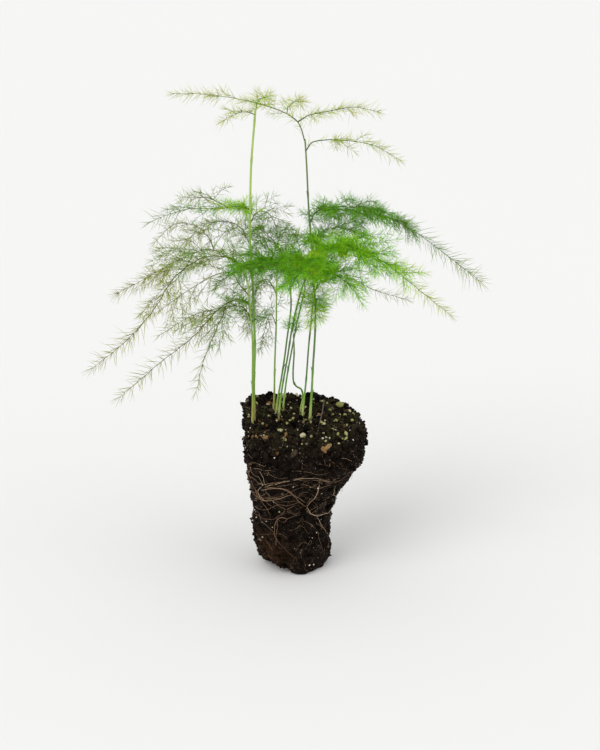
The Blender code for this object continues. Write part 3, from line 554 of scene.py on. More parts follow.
bark_mat = palette_material("bark_chips", [
    (0.0, (0.035, 0.018, 0.009)), (0.5, (0.150, 0.070, 0.024)), (1.0, (0.40, 0.25, 0.12))], 0.75, (0.07, 0.034, 0.014))


def finish_piece(obj, slot, *nodes):
    if nodes:
        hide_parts(*nodes)
    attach(obj, "root")
    return obj


# ------------------------------------------------------------------ soil plug
def bump_at(deg, centre, width):
    off = (deg - centre + 180) % 360 - 180
    return np.exp(-(off / width) ** 2)


def plug_surface(angle, row):
    """Point of the plug for arrays of angle and of rows (height, centre x, half widths)."""
    height, cx, hx, hy = row[..., 0], row[..., 1], row[..., 2], row[..., 3]
    grow = 1 + (0.022 * np.sin(3 * angle + 0.13 * height + 0.6) + 0.020 * np.sin(5 * angle - 0.29 * height + 2.1)
                + 0.014 * np.sin(9 * angle + 0.47 * height) + 0.010 * np.sin(14 * angle - 0.9 * height + 1.0))
    n = 2 + (np.asarray(PLUG_QUARTERS)[(angle % TAU / (math.pi / 2)).astype(int) % 4] - 2) * np.clip(
        (height - PLUG_SQUARE_FROM) / (PLUG_SQUARE_TO - PLUG_SQUARE_FROM), 0, 1)
    grow = grow * (np.abs(np.cos(angle)) ** n + np.abs(np.sin(angle)) ** n) ** (-1 / n)
    deg = np.degrees(angle) % 360
    crevice = CREVICE[2] * bump_at(deg, CREVICE[0], CREVICE[1]) * np.maximum(0, 1 - height / 13)
    crevice = crevice * np.clip(hx / 9, 0, 1)
    x = cx + (hx * grow - crevice) * np.cos(angle)
    y = (hy * grow - crevice) * np.sin(angle)
    lift = RAISED_LOBE[2] * bump_at(deg, RAISED_LOBE[0], RAISED_LOBE[1]) * np.maximum(0, 1 - height / 9)
    lift = lift * np.clip((hx - 5.2) / 4, 0, 1)
    slope = PLUG_TOP_SLOPE * y * np.clip((height - 32) / 12, 0, 1)
    ripple = 0.45 * np.sin(0.9 * x + 1.3) * np.cos(0.8 * y) * np.clip((height - 45.6) / 1.2, 0, 1)
    return np.stack([x, y, height + lift + slope + ripple], -1)


def plug_rows(step):
    rows = np.asarray(PLUG_ROWS, float)
    return curve_through(rows * [1, 0.2, 1, 0.2], step) / [1, 0.2, 1, 0.2]


def field(points, scale, seed):
    return np.array([noise.noise(Vector(p) * scale + Vector((seed, 0, 0))) for p in points.reshape(-1, 3)]).reshape(
        points.shape[:-1])


def cells(points, scale, seed):
    return np.array([noise.voronoi(Vector(p) * scale + Vector((seed, 0, 0)))[0][0] for p in points.reshape(-1, 3)]
                    ).reshape(points.shape[:-1])


def build_plug():
    turns = 300
    rows = plug_rows(0.3)
    rows[:, 2:] = rows[:, 2:].clip(0)
    angle = (np.arange(turns) + 0.5) * TAU / turns
    inner = rows[1:-1]
    grid = plug_surface(angle[None, :], inner[:, None, :])
    along = np.gradient(grid, axis=0)
    round_it = (np.roll(grid, -1, axis=1) - np.roll(grid, 1, axis=1)) / 2
    normal = unit(np.cross(round_it, along))
    big = field(grid, 0.20, 3.0)
    mid = field(grid, 0.55, 17.0)
    crumb = cells(grid, 0.62, 5.0)
    small = cells(grid, 1.35, 9.0)
    push = 0.55 * big + 0.55 * mid + 0.75 * (0.42 - crumb) + 0.32 * (0.42 - small)
    pits = np.clip(field(grid, 0.42, 31.0) - 0.22, 0, 1)
    push = push - 2.6 * pits
    push = push * np.clip(grid[..., 2] / 2.2, 0.0, 1.0)
    grid = grid + normal * push[..., None]
    grid[..., 2] = np.maximum(grid[..., 2], 0.03)
    return angle, inner, grid, normal


turn_angles, inner_rows, plug_grid, plug_normal = build_plug()
rows_n, turns_n = plug_grid.shape[:2]
plug_points = np.vstack([plug_grid.reshape(-1, 3), [[1.0, 0, 0.03]], plug_grid[-1].mean(0)[None]])
k_, j_ = np.meshgrid(np.arange(rows_n - 1), np.arange(turns_n), indexing="ij")
n_ = (j_ + 1) % turns_n
plug_quads = np.stack([k_ * turns_n + j_, k_ * turns_n + n_, (k_ + 1) * turns_n + n_, (k_ + 1) * turns_n + j_], -1
                      ).reshape(-1, 4)
ring_ = np.arange(turns_n)
bottom_ = rows_n * turns_n
last_ = (rows_n - 1) * turns_n
plug_tris = np.vstack([
    np.stack([np.full(turns_n, bottom_), (ring_ + 1) % turns_n, ring_], 1),
    np.stack([np.full(turns_n, bottom_ + 1), last_ + ring_, last_ + (ring_ + 1) % turns_n], 1)])


def make_plug():
    pile = Pile()
    pile.add(plug_points, plug_quads, plug_tris)
    obj = pile.make("plug_of_soil", soil)
    # an unwrap of its own: round the plug across, foot to top upwards
    across_j = np.stack([j_, j_ + 1, j_ + 1, j_], -1).reshape(-1, 4) / turns_n
    up_k = np.stack([k_, k_, k_ + 1, k_ + 1], -1).reshape(-1, 4)
    up_k = 0.02 + 0.96 * up_k / (rows_n - 1)
    low = np.stack([(ring_ + 0.5), ring_ + 1, ring_], 1) / turns_n
    high = np.stack([(ring_ + 0.5), ring_, ring_ + 1], 1) / turns_n
    low_v = np.tile([0.0, 0.02, 0.02], (turns_n, 1))
    high_v = np.tile([1.0, 0.98, 0.98], (turns_n, 1))
    u = np.concatenate([across_j.ravel(), low.ravel(), high.ravel()])
    v = np.concatenate([up_k.ravel(), low_v.ravel(), high_v.ravel()])
    uv = np.stack([0.002 + 0.996 * u, 0.002 + 0.996 * v], 1).astype(np.float32)
    obj.data.uv_layers["OFBake"].uv.foreach_set("vector", uv.ravel())
    return finish_piece(obj, "soil", "soil_plug")


make_plug()
plug_tree = BVHTree.FromPolygons(
    [Vector(p) for p in plug_points], [tuple(map(int, q)) for q in plug_quads] + [tuple(map(int, t)) for t in plug_tris])


def seat(point):
    """Nearest place on the crumbly surface, and the way out of it."""
    where, out, _, _ = plug_tree.find_nearest(Vector(point))
    return np.array(where), np.array(out)


def soil_top(x, y):
    return plug_tree.ray_cast(Vector((x, y, 90)), Vector((0, 0, -1)))[0].z


ICO = None


def pebble_shapes():
    """Unit icosahedron and its once-divided form."""
    import bmesh
    found = []
    for divisions in (1, 2):
        work = bmesh.new()
        bmesh.ops.create_icosphere(work, subdivisions=divisions, radius=1.0)
        work.verts.ensure_lookup_table()
        found.append((np.array([v.co for v in work.verts]), np.array([[v.index for v in f.verts] for f in work.faces])))
        work.free()
    return found


SMALL_PEBBLE, ROUND_PEBBLE = pebble_shapes()


def turned(rng, n):
    """n random rotation matrices."""
    q = unit(rng.normal(size=(n, 4)))
    w, x, y, z = q.T
    return np.stack([
        np.stack([1 - 2 * (y * y + z * z), 2 * (x * y - z * w), 2 * (x * z + y * w)], -1),
        np.stack([2 * (x * y + z * w), 1 - 2 * (x * x + z * z), 2 * (y * z - x * w)], -1),
        np.stack([2 * (x * z - y * w), 2 * (y * z + x * w), 1 - 2 * (x * x + y * y)], -1)], 1)


def scatter(rng, pile, centres, sizes, tints, shape=SMALL_PEBBLE, rough=0.30, flat=(0.55, 1.0)):
    """Irregular crumbs. sizes are radii."""
    verts, faces = shape
    n = len(centres)
    radial = 1 + rough * rng.uniform(-1, 1, (n, len(verts), 1))
    stretch = np.stack([rng.uniform(0.9, 1.5, n), rng.uniform(0.8, 1.1, n), rng.uniform(*flat, n)], 1)
    local = verts[None] * radial * stretch[:, None, :] * sizes[:, None, None]
    world = np.einsum("nij,nvj->nvi", turned(rng, n), local) + centres[:, None, :]
    world[..., 2] = np.maximum(world[..., 2], 0.02)
    at = (np.arange(n) * len(verts))[:, None, None]
    u = tints[:, None] + 0.012 * (np.arange(len(verts)) % 3 - 1)[None]
    v = np.broadcast_to(0.1 + 0.8 * (np.arange(len(verts)) * 0.37 % 1), u.shape)
    pile.add(world.reshape(-1, 3), None, (faces[None] + at).reshape(-1, 3),
             np.stack([u, v], -1).reshape(-1, 2).clip(0.002, 0.998))


def surface_picks(rng, n, weight=None):
    """n places on the plug, each with the way out, spread by area."""
    a = plug_grid[:-1]
    size = np.linalg.norm(np.cross(np.roll(a, -1, 1) - a, plug_grid[1:] - a), axis=-1)
    if weight is not None:
        size = size * weight(a)
    pick = rng.choice(size.size, n, p=(size / size.sum()).ravel())
    k, j = np.unravel_index(pick, size.shape)
    return plug_grid[k, j], plug_normal[k, j]


def make_crumbs():
    rng = seeded("crumbs")
    pile = Pile()
    n = 8600
    where, out = surface_picks(rng, n, lambda p: np.where(p[..., 2] < 1.5, 0.0, 1.0) * np.where(p[..., 2] > 40, 1.5, 1.0))
    size = np.exp(rng.normal(-1.58, 0.42, n)).clip(0.09, 0.55)
    size = np.where(where[:, 2] > 37, size * 1.22, size)
    tint = rng.beta(1.4, 3.0, n)
    tint = np.where(where[:, 2] > 43.5, 0.32 + tint * 0.75, tint)
    # a few crumbs get a pale tint: partly lighter peat, partly painted glints of the wet soil
    tint = np.where(rng.random(n) < 0.025, rng.uniform(0.88, 1.0, n), tint).clip(0, 1)
    scatter(rng, pile, where + out * (size * rng.uniform(-0.2, 0.5, n))[:, None], size, tint)
    lift = where + out * (size * 0.9)[:, None]
    # clods, mostly round the shoulder and the far rim
    m = 300
    where, out = surface_picks(rng, m, lambda p: np.where(p[..., 2] < 4, 0.0, 0.22)
                               + np.where((p[..., 2] > 38) & (p[..., 2] < 54), 1.5, 0.0)
                               + np.where((p[..., 1] > 8) & (p[..., 2] > 47), 2.2, 0.0))
    size = rng.uniform(0.36, 0.92, m)
    scatter(rng, pile, where + out * (size * 0.25)[:, None], size, rng.beta(1.3, 3.6, m), ROUND_PEBBLE, 0.34)
    obj = pile.make("soil_crumbs", crumb_mat, smooth=False)
    finish_piece(obj, "soil")
    # sand and salt grains on the crumb tops, their pale tints partly painted glints of the wet soil
    pile = Pile()
    m = 2600
    pick = rng.choice(len(lift), m)
    pick = pick[lift[pick, 2] > 1.5]
    scatter(rng, pile, lift[pick], np.exp(rng.normal(-2.45, 0.30, len(pick))).clip(0.05, 0.17),
            rng.beta(1.8, 1.5, len(pick)).clip(0.45, 1.0))
    finish_piece(pile.make("sand_with_painted_glints", sand_glint_mat, smooth=False), "soil")


make_crumbs()


# x, y, radius and tint of the grit on the soil's surface
SURFACE_GRIT = [
    (15.2, 2.8, 0.30, 0.2), (16.8, 2.8, 0.34, 0.3), (19.0, 1.1, 0.42, 0.3), (16.9, -7.1, 0.46, 0.4), (9.6, -1.6, 0.40, 0.3),
    (14.0, 0.0, 0.38, 0.2), (-1.1, -2.2, 0.40, 0.3), (-3.2, -5.5, 0.48, 0.5), (1.0, 4.5, 0.34, 0.5), (0.1, 6.8, 0.30, 0.6),
    (-3.6, 2.8, 0.32, 0.3), (6.2, -9.8, 0.34, 0.5), (-2.5, 11.9, 0.34, 0.7), (1.9, 15.4, 0.44, 0.8), (-7.1, 8.5, 0.38, 0.7),
    (-0.2, 0.0, 0.36, 0.3), (0.7, 0.6, 0.34, 0.4), (11.3, 9.6, 0.34, 0.3), (9.8, 10.2, 0.28, 0.4), (12.2, 6.2, 0.34, 0.1),
    (17.3, -3.3, 0.38, 0.2), (14.4, -8.2, 0.34, 0.2), (18.4, -1.6, 0.30, 0.3), (12.9, -4.9, 0.38, 0.2), (-2.0, -8.7, 0.40, 0.5),
    (-10.6, 9.1, 0.30, 0.3), (6.2, -1.1, 0.28, 0.5), (2.2, -4.9, 0.26, 0.6), (16.8, -9.3, 0.44, 0.3), (13.0, 3.2, 0.30, 0.2),
    (8.4, -5.0, 0.26, 0.6), (-6.8, 2.2, 0.26, 0.4), (4.6, 7.2, 0.28, 0.6), (7.0, 12.0, 0.30, 0.5), (-8.6, -2.4, 0.26, 0.6),
    (10.8, -10.4, 0.28, 0.6), (19.4, 4.6, 0.32, 0.3), (3.4, 11.6, 0.26, 0.7), (-4.8, 13.4, 0.28, 0.7), (14.6, -12.8, 0.26, 0.6)]
SURFACE_BARK = [
    (-11.4, -6.9, 1.10, 0.62), (-10.3, -7.8, 0.75, 0.80), (-1.4, -7.9, 0.95, 0.75), (-2.3, -8.6, 0.60, 0.55),
    (11.0, -14.6, 1.15, 0.85), (10.0, -15.4, 0.75, 0.70), (12.0, -13.9, 0.60, 0.95), (-5.5, 10.6, 0.70, 0.6),
    (6.6, -3.6, 0.55, 0.35), (16.4, -5.4, 0.55, 0.4), (-7.4, -3.2, 0.60, 0.3), (2.8, 8.0, 0.60, 0.45), (17.6, 5.4, 0.5, 0.5)]


def make_grains():
    """Perlite gone green with algae, cream grit and bark, nearly all of it on the soil's surface."""
    rng = seeded("grains")
    pile = Pile()
    table = np.array(SURFACE_GRIT)
    where = np.array([[x, y, soil_top(x, y) + 0.30 + 0.35 * r] for x, y, r, _ in SURFACE_GRIT])
    scatter(rng, pile, where, table[:, 2] * 1.35, table[:, 3], ROUND_PEBBLE, 0.18, (0.55, 0.9))
    top, out = surface_picks(rng, 44, lambda p: np.where(p[..., 2] > 44.0, 1.0, 0.0))
    size = rng.uniform(0.16, 0.42, 44)
    scatter(rng, pile, top + out * (0.22 + size * 0.5)[:, None], size, rng.beta(1.8, 1.2, 44) * 0.95, ROUND_PEBBLE, 0.16, (0.7, 1.0))
    side, out = surface_picks(rng, 90, lambda p: np.where(p[..., 2] > 3.0, 1.0, 0.0))
    size = rng.uniform(0.12, 0.28, 90)
    scatter(rng, pile, side + out * (0.20 + size * 0.5)[:, None], size, rng.uniform(0.60, 1.0, 90), ROUND_PEBBLE, 0.16, (0.7, 1.0))
    finish_piece(pile.make("grit_and_perlite", grain_mat), "perlite")
    for node, tint in (("perlite_large", 0.16), ("perlite_middle", 0.74), ("perlite_back", 0.60)):
        low, high = (np.array(c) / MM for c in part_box(node))
        centre, half = (low + high) / 2, (high - low) / 2
        own, pile = seeded(node), Pile()
        verts, faces = ROUND_PEBBLE
        rough = 1 + 0.16 * own.uniform(-1, 1, (len(verts), 1))
        points = verts * rough * half * 0.92 + [centre[0], centre[1], soil_top(centre[0], centre[1]) + 0.2 + half[2] * 0.5]
        u = np.full(len(verts), tint) + 0.02 * (np.arange(len(verts)) % 3 - 1)
        pile.add(points, None, faces, np.stack([u, 0.1 + 0.8 * (np.arange(len(verts)) * 0.37 % 1)], 1))
        finish_piece(pile.make(node + "_grain", grain_mat), "perlite", node)
    pile = Pile()
    table = np.array(SURFACE_BARK)
    where = np.array([[x, y, soil_top(x, y) + 0.35] for x, y, _, _ in SURFACE_BARK])
    scatter(rng, pile, where, table[:, 2], table[:, 3], ROUND_PEBBLE, 0.24, (0.35, 0.6))
    where, out = surface_picks(rng, 40, lambda p: np.where(p[..., 2] > 40, 1.0, 0.0) + np.where(p[..., 2] > 4, 0.15, 0.0))
    size = rng.uniform(0.30, 0.75, 40)
    scatter(rng, pile, where + out * (size * 0.25)[:, None], size, rng.beta(1.2, 2.4, 40), ROUND_PEBBLE, 0.22, (0.25, 0.5))
    finish_piece(pile.make("bark_bits", bark_mat, smooth=False), "bark")
    for node, tint in (("bark_chip_left", 0.70), ("bark_chip_back", 0.60)):
        low, high = (np.array(c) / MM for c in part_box(node))
        centre, half = (low + high) / 2, (high - low) / 2
        own, pile = seeded(node), Pile()
        verts, faces = ROUND_PEBBLE
        rough = 1 + 0.24 * own.uniform(-1, 1, (len(verts), 1))
        points = verts * rough * half * [0.80, 0.80, 0.7] + [centre[0], centre[1], soil_top(centre[0], centre[1]) + 0.1]
        u = np.full(len(verts), tint) + 0.05 * (np.arange(len(verts)) % 3 - 1)
        pile.add(points, None, faces, np.stack([u, 0.1 + 0.8 * (np.arange(len(verts)) * 0.37 % 1)], 1))
        finish_piece(pile.make(node + "_flake", bark_mat, smooth=False), "bark", node)


make_grains()


# ------------------------------------------------------------------ roots
# the finer roots on the near side: radius, tint, route as (angle, height)
ROOTLETS = [
    (0.16, 0.70, [(216, 38.8), (222, 35.7), (231, 32.5)]),
    (0.17, 0.80, [(226, 39.1), (229, 36.0), (234, 32.4)]),
    (0.13, 0.60, [(199, 32.1), (218, 32.5), (232, 31.8)]),
    (0.22, 0.78, [(233, 31.9), (244, 33.7), (258, 37.2), (269, 38.8), (280, 38.2), (294, 36.4), (302, 35.9)]),
    (0.20, 0.66, [(233, 31.5), (248, 32.0), (261, 30.4), (273, 27.6), (285, 24.7)]),
    (0.19, 0.80, [(228, 31.4), (219, 28.5), (223, 26.0), (236, 26.0), (252, 28.3), (262, 29.6)]),
    (0.13, 0.62, [(232, 31.0), (236, 29.0), (247, 28.2), (258, 29.9), (254, 32.1)]),
    (0.19, 0.86, [(289, 34.0), (291, 31.3), (289, 27.5), (286, 25.1)]),
    (0.23, 0.86, [(286, 24.7), (295, 21.8), (313, 20.0), (334, 20.4), (338, 24.0), (313, 28.2), (307, 32.2)]),
    (0.15, 0.90, [(307, 20.4), (317, 16.9), (330, 12.8)]),
    (0.14, 0.50, [(207, 22.6), (230, 23.1), (245, 25.7), (264, 25.2), (277, 27.4)]),
    (0.13, 0.45, [(193, 19.1), (222, 19.3), (242, 19.9), (257, 22.0)]),
    (0.30, 0.42, [(264, 20.4), (256, 20.8), (250, 19.9), (247, 17.2), (249, 11.2)]),
    (0.11, 0.35, [(200, 12.0), (229, 13.5), (254, 15.4)]),
    (0.14, 0.62, [(211, 44.6), (224, 43.8), (231, 42.5)]),
    (0.13, 0.70, [(305, 45.0), (310, 44.6), (315, 43.0)]),
    (0.11, 0.50, [(258, 42.0), (270, 42.8), (282, 41.0), (292, 41.6)]),
    (0.12, 0.55, [(230, 39.0), (245, 38.2), (254, 39.4)]),
    (0.12, 0.60, [(262, 33.0), (272, 34.6), (284, 33.2), (296, 32.4)]),
    (0.12, 0.55, [(240, 26.4), (254, 24.2), (268, 22.4), (280, 22.9)]),
    (0.11, 0.50, [(268, 16.5), (282, 18.0), (296, 15.2)]),
    (0.11, 0.45, [(276, 9.0), (286, 12.0), (300, 10.5)]),
]


def on_side(angle_deg, height):
    rows = np.asarray(PLUG_ROWS, float)[2:14]
    row = np.array([height] + [np.interp(height, rows[:, 0], rows[:, k]) for k in (1, 2, 3)])
    return plug_surface(np.array(math.radians(angle_deg)), row)


def laid(route, rise, step=0.7, wobble=0.0, rng=None):
    """A line over the crumbly plug through (angle, height) points, standing off by rise."""
    flat = curve_through([(a * 0.24, z) for a, z in route], step) / [0.24, 1]
    if wobble and rng is not None:
        bends = np.cumsum(rng.normal(0, wobble, (len(flat), 2)), axis=0)
        bends -= np.linspace(0, 1, len(flat))[:, None] * bends[-1]
        flat = flat + bends * [4.0, 1.0]
    line = []
    for a, z in flat:
        where, out = seat(on_side(a, min(max(z, 1.5), 45.5)))
        line.append(where + out * rise)
    line = np.array(line)
    for _ in range(2):
        line[1:-1] = (line[:-2] + 2 * line[1:-1] + line[2:]) / 4
    return line


def rooted(pile, route, radius, tint, rng, rise=None, wobble=0.07, sides=6):
    line = laid(route, 0.34 + radius * 0.4 if rise is None else rise, 0.55, wobble, rng)
    share = np.linspace(0, 1, len(line))
    radii = radius * (1.0 - 0.45 * share) * (1 + 0.10 * rng.normal(size=len(line)).clip(-1.5, 1.5))
    radii = radii * np.clip(np.minimum(share, 1 - share) * 9 + 0.3, 0, 1)
    pile.tube(line, radii, sides, float(np.clip(tint, 0.02, 0.98)), v=(0.05, 0.95))
    return line


def make_roots():
    for name, (radius, route) in ROOTS.items():
        rng = seeded(name)
        pile = Pile()
        tint = 0.36 if "flat" in name else 0.62 + 0.20 * rng.random()
        rooted(pile, route, radius * 0.21, tint, rng, 0.30 + radius * 0.16)
        for _ in range(3 if len(route) > 5 else 2):
            a, z = route[rng.integers(0, len(route) - 1)]
            down = rng.choice([-1, 1])
            side = [(a, z), (a + rng.uniform(5, 9), z + down * rng.uniform(0.6, 1.6)),
                    (a + rng.uniform(12, 20), z + down * rng.uniform(0.8, 3.2))]
            rooted(pile, side, radius * 0.13, tint * 0.8, rng, 0.22, sides=5)
        finish_piece(pile.make(name + "_fine", root_mat), "root", name)
    rng = seeded("rootlets")
    pile = Pile()
    for radius, tint, route in ROOTLETS:
        rooted(pile, route, radius * 0.44, min(tint + 0.08, 0.95), rng)
    finish_piece(pile.make("rootlets", root_mat), "root")
    rng = seeded("root web")
    pile = Pile()
    for k in range(50):
        a, z = rng.uniform(0, 360), rng.uniform(17, 37)
        lean, route = rng.normal(0, 1.3), [(a, z)]
        for _ in range(rng.integers(3, 7)):
            a += rng.uniform(6, 15)
            lean += rng.normal(0, 1.1)
            z = float(np.clip(z + lean, 4, 43))
            route.append((a, z))
        front = 215 < route[0][0] % 360 < 330
        rooted(pile, route, rng.uniform(0.035, 0.06) if front else rng.uniform(0.05, 0.15), rng.uniform(0.1, 0.75), rng,
               0.16 if front else 0.30, sides=5)
    for k in range(140):
        a, z = rng.uniform(0, 360), rng.uniform(3, 45)
        route = [(a, z), (a + rng.uniform(-6, 6), z + rng.uniform(-2, 2)), (a + rng.uniform(-14, 14), z + rng.uniform(-4, 4))]
        rooted(pile, route, 0.05, rng.uniform(0.05, 0.75), rng, 0.14, sides=4)
    finish_piece(pile.make("root_web", root_mat), "root")
    # whiskers that stand off the soil
    pile = Pile()
    where, out = surface_picks(rng, 120, lambda p: np.where(p[..., 2] > 4, 1.0, 0.0) * np.where(p[..., 2] > 40, 2.0, 1.0))
    for p, n in zip(where, out):
        way = unit(n * rng.uniform(0.1, 0.7) + unit(rng.normal(size=3)) * 0.9)
        reach = rng.uniform(1.0, 3.2)
        mids = [p, p + way * reach * 0.5 + n * 0.2, p + way * reach + np.array([0, 0, -0.35 * reach]) * rng.random()]
        line = curve_through(mids, 0.5)
        line[:, 2] = np.maximum(line[:, 2], 0.1)
        pile.tube(line, np.linspace(0.045, 0.022, len(line)), 4, rng.uniform(0.1, 0.9), v=(0.05, 0.95))
    finish_piece(pile.make("root_whiskers", root_mat), "root")


make_roots()


def make_twig():
    route = [(10.4, 8.4, 2.2), (10.0, 5.0, 1.3), (9.4, 1.0, 1.1), (8.4, -3.6, 1.0)]
    line = curve_through([(x, y, soil_top(x, y) + h - 0.3) for x, y, h in route], 0.7)
    rng = seeded("twig")
    radii = 0.23 * (1 + 0.18 * rng.normal(size=len(line)).clip(-1.5, 1.5)) * np.linspace(1.0, 0.7, len(line))
    pile = Pile()
    pile.tube(line, radii, 7, 0.5, 0.9, v=(0.05, 0.95))
    finish_piece(pile.make("twig_of_peat", twig_mat), "bark", "dead_twig")


make_twig()


# ------------------------------------------------------------------ stems and their crowns
def stem_line(name, step=0.8):
    crown, foot, tip, route = STEMS[name]
    low = [route[0][0], route[0][1], 44.6]
    return curve_through([low] + list(route), step)


def scale_leaf(pile, base, way, out, length, width, tint, v):
    """A little dry scale that clasps a stem: a curved, pointed blade with thickness."""
    side = unit(np.cross(way, out))
    rows = []
    for s in np.linspace(0, 1, 5):
        w = width * (1 - s) ** 0.7 * (0.7 + 0.6 * s)
        lift = 0.10 + 0.30 * s * s
        c = base + way * length * s
        rows.append([c + side * w + out * (lift - 0.5 * w), c + out * (lift + 0.10), c - side * w + out * (lift - 0.5 * w),
                     c + out * (lift - 0.02)])
    points = np.array(rows).reshape(-1, 3)
    quads = []
    for k in range(4):
        for c in range(4):
            d = (c + 1) % 4
            quads.append((4 * k + c, 4 * k + 4 + c, 4 * k + 4 + d, 4 * k + d))
    quads += [(0, 1, 2, 3), (19, 18, 17, 16)]
    us = np.tile([tint - 0.01, tint, tint + 0.01, tint], 5)
    vs = np.repeat(np.linspace(v[0], v[1], 5), 4)
    pile.add(points, quads, None, np.stack([us, vs], 1))


def make_stems():
    for name, (crown, foot, tip, route) in STEMS.items():
        rng = seeded(name)
        line = stem_line(name, 0.6)
        run = lengths_along(line)
        share = run / run[-1]
        swell = 0.93 + (0.45 if name == "stem_tall_left" else 0.22) * np.exp(-((run - 5) / 6.0) ** 2)
        radii = (foot + (tip - foot) * share) * swell
        spacing = 11.0 + 3 * rng.random()
        joints = np.arange(16 + 4 * rng.random(), run[-1] - 3, spacing)
        for at in joints:
            radii = radii * (1 + 0.22 * np.exp(-((run - at) / 0.7) ** 2))
        wave = 0.10 * np.sin(run / spacing * math.pi)[:, None] * np.array([rng.normal(), rng.normal(), 0]).clip(-1, 1)
        line = line + wave * np.clip(share * 4, 0, 1)[:, None]
        pile = Pile()
        along = np.interp(run, [0, 5, 14, run[-1]], [0.0, 0.06, 0.19, 1.0])
        pile.tube(line, radii, 10, 0.5, 0.9, v=along)
        t = tangents(line)
        for at in joints:
            k = int(np.searchsorted(run, at))
            turn = rng.uniform(0, TAU)
            side = unit(np.cross(t[k], [0.3, 0.9, 0.1]))
            out = side * math.cos(turn) + np.cross(t[k], side) * math.sin(turn)
            scale_leaf(pile, line[k] + out * radii[k] * 0.8, t[k], out, 1.1, 0.26, 0.5, (along[k], min(along[k] + 0.02, 1)))
        pale = name in ("stem_tall_left", "stem_left", "stem_back")
        finish_piece(pile.make(name + "_cane", stem_pale if pale else stem_dark), "stem_pale" if pale else "stem_dark", name)


make_stems()


def make_crowns():
    """Scale leaves round each stem's foot, and the rootstock they rise from, just under the soil."""
    for crown in ("crown_left", "crown_middle", "crown_right"):
        rng = seeded(crown)
        low, high = (np.array(c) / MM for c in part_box(crown))
        centre = (low + high) / 2
        pile = Pile()
        for name in [n for n, s in STEMS.items() if s[0] == crown]:
            foot = STEMS[name][1]
            line = stem_line(name, 0.3)
            top = soil_top(line[0][0], line[0][1])
            keep = line[(line[:, 2] > top - 2.5) & (line[:, 2] < top + 1.9)]
            s = np.linspace(0, 1, len(keep))
            pile.tube(keep, foot * (1.42 - 0.40 * s) * (1 + 0.05 * rng.normal(size=len(keep))), 9, 0.5, 0.9, v=(0.05, 0.75))
            t = tangents(keep)
            for _ in range(3):
                k = rng.integers(len(keep) // 2, len(keep) - 2)
                turn = rng.uniform(0, TAU)
                side = unit(np.cross(t[k], [0.9, 0.2, 0.1]))
                out = side * math.cos(turn) + np.cross(t[k], side) * math.sin(turn)
                scale_leaf(pile, keep[k] + out * foot * 0.9, unit(t[k] + 0.10 * out), out, rng.uniform(0.9, 1.9), 0.26, 0.5,
                           (0.2, 1.0))
        half = (high - low) / 2
        knob = np.array([centre[0], centre[1], min(high[2], soil_top(centre[0], centre[1])) - 1.9])
        verts, faces = ROUND_PEBBLE
        rough = 1 + 0.15 * rng.uniform(-1, 1, (len(verts), 1))
        points = verts * rough * [half[0] * 0.7, half[1] * 0.7, 1.6] + knob
        pile.add(points, None, faces, np.stack([np.full(len(verts), 0.4), 0.1 + 0.35 * (verts[:, 2] + 1) / 2], 1))
        finish_piece(pile.make(crown + "_rootstock", sheath), "crown", crown)


make_crowns()


# ------------------------------------------------------------------ fronds
def frames(line, heading):
    t = tangents(line)
    ahead = np.stack([t[:, 0], t[:, 1], 0 * t[:, 0]], 1) + 0.35 * heading
    side = unit(np.cross(ahead, [0.0, 0.0, 1.0]))
    side = unit(side - t * (side * t).sum(1, keepdims=True))
    return t, side, np.cross(side, t)


def tufts(pile, rng, line, t, side, up, gap, per, length, tint, start=0.0, flat=0.75, thin=1.0, end_boost=True):
    """Fans of needles along a branch. tint is a function of the share along it."""
    run = lengths_along(line)
    stops = np.arange(start, run[-1], gap)
    stops = stops + rng.uniform(-0.25, 0.25, len(stops)) * gap
    stops = stops.clip(0, run[-1])
    if not len(stops):
        return
    counts = np.maximum(2, rng.poisson(per - 1, len(stops)) + 1)
    owner = np.repeat(np.arange(len(stops)), counts)
    s = stops[owner] / run[-1]
    at = [np.stack([np.interp(stops, run, a[:, k]) for k in range(3)], 1) for a in (line, t, side, up)]
    p, tt, ss, uu = (a[owner] for a in at)
    first = rng.uniform(0, TAU, len(stops))[owner]
    number = np.concatenate([np.arange(c) for c in counts])
    phi = first + number * TAU / counts[owner] + rng.normal(0, 0.35, len(owner))
    theta = np.radians(rng.normal(56, 13, len(owner)).clip(22, 86))
    across = ss * np.cos(phi)[:, None] + uu * (np.sin(phi) * flat)[:, None]
    way = unit(tt * np.cos(theta)[:, None] + across * np.sin(theta)[:, None])
    bend = unit(tt) * rng.uniform(0.02, 0.16, len(owner))[:, None] + np.array([0, 0, -1.0]) * rng.uniform(-0.02, 0.07, len(owner))[:, None]
    size = length * rng.uniform(0.62, 1.12, len(owner)) * (1 - 0.35 * np.clip((s - 0.86) / 0.14, 0, 1))
    radius = np.full(len(owner), 0.063 * thin) * rng.uniform(0.85, 1.15, len(owner))
    shade = np.array([tint(x) for x in s]) + rng.normal(0, 0.050, len(owner))
    radius *= np.where(shade > 0.87, 0.80, 1.0)
    pile.needles(p, way, bend, size, radius, shade.clip(0.02, 0.98))
    if end_boost:
        n = 4
        way = unit(t[-1] + 0.42 * (side[-1] * np.cos(np.arange(n) * 1.9)[:, None] + up[-1] * np.sin(np.arange(n) * 1.9)[:, None]))
        pile.needles(np.repeat(line[-1:], n, 0), way, way * 0, np.full(n, length * 0.75), np.full(n, 0.056 * thin),
                     np.full(n, float(tint(1.0))).clip(0.02, 0.98))


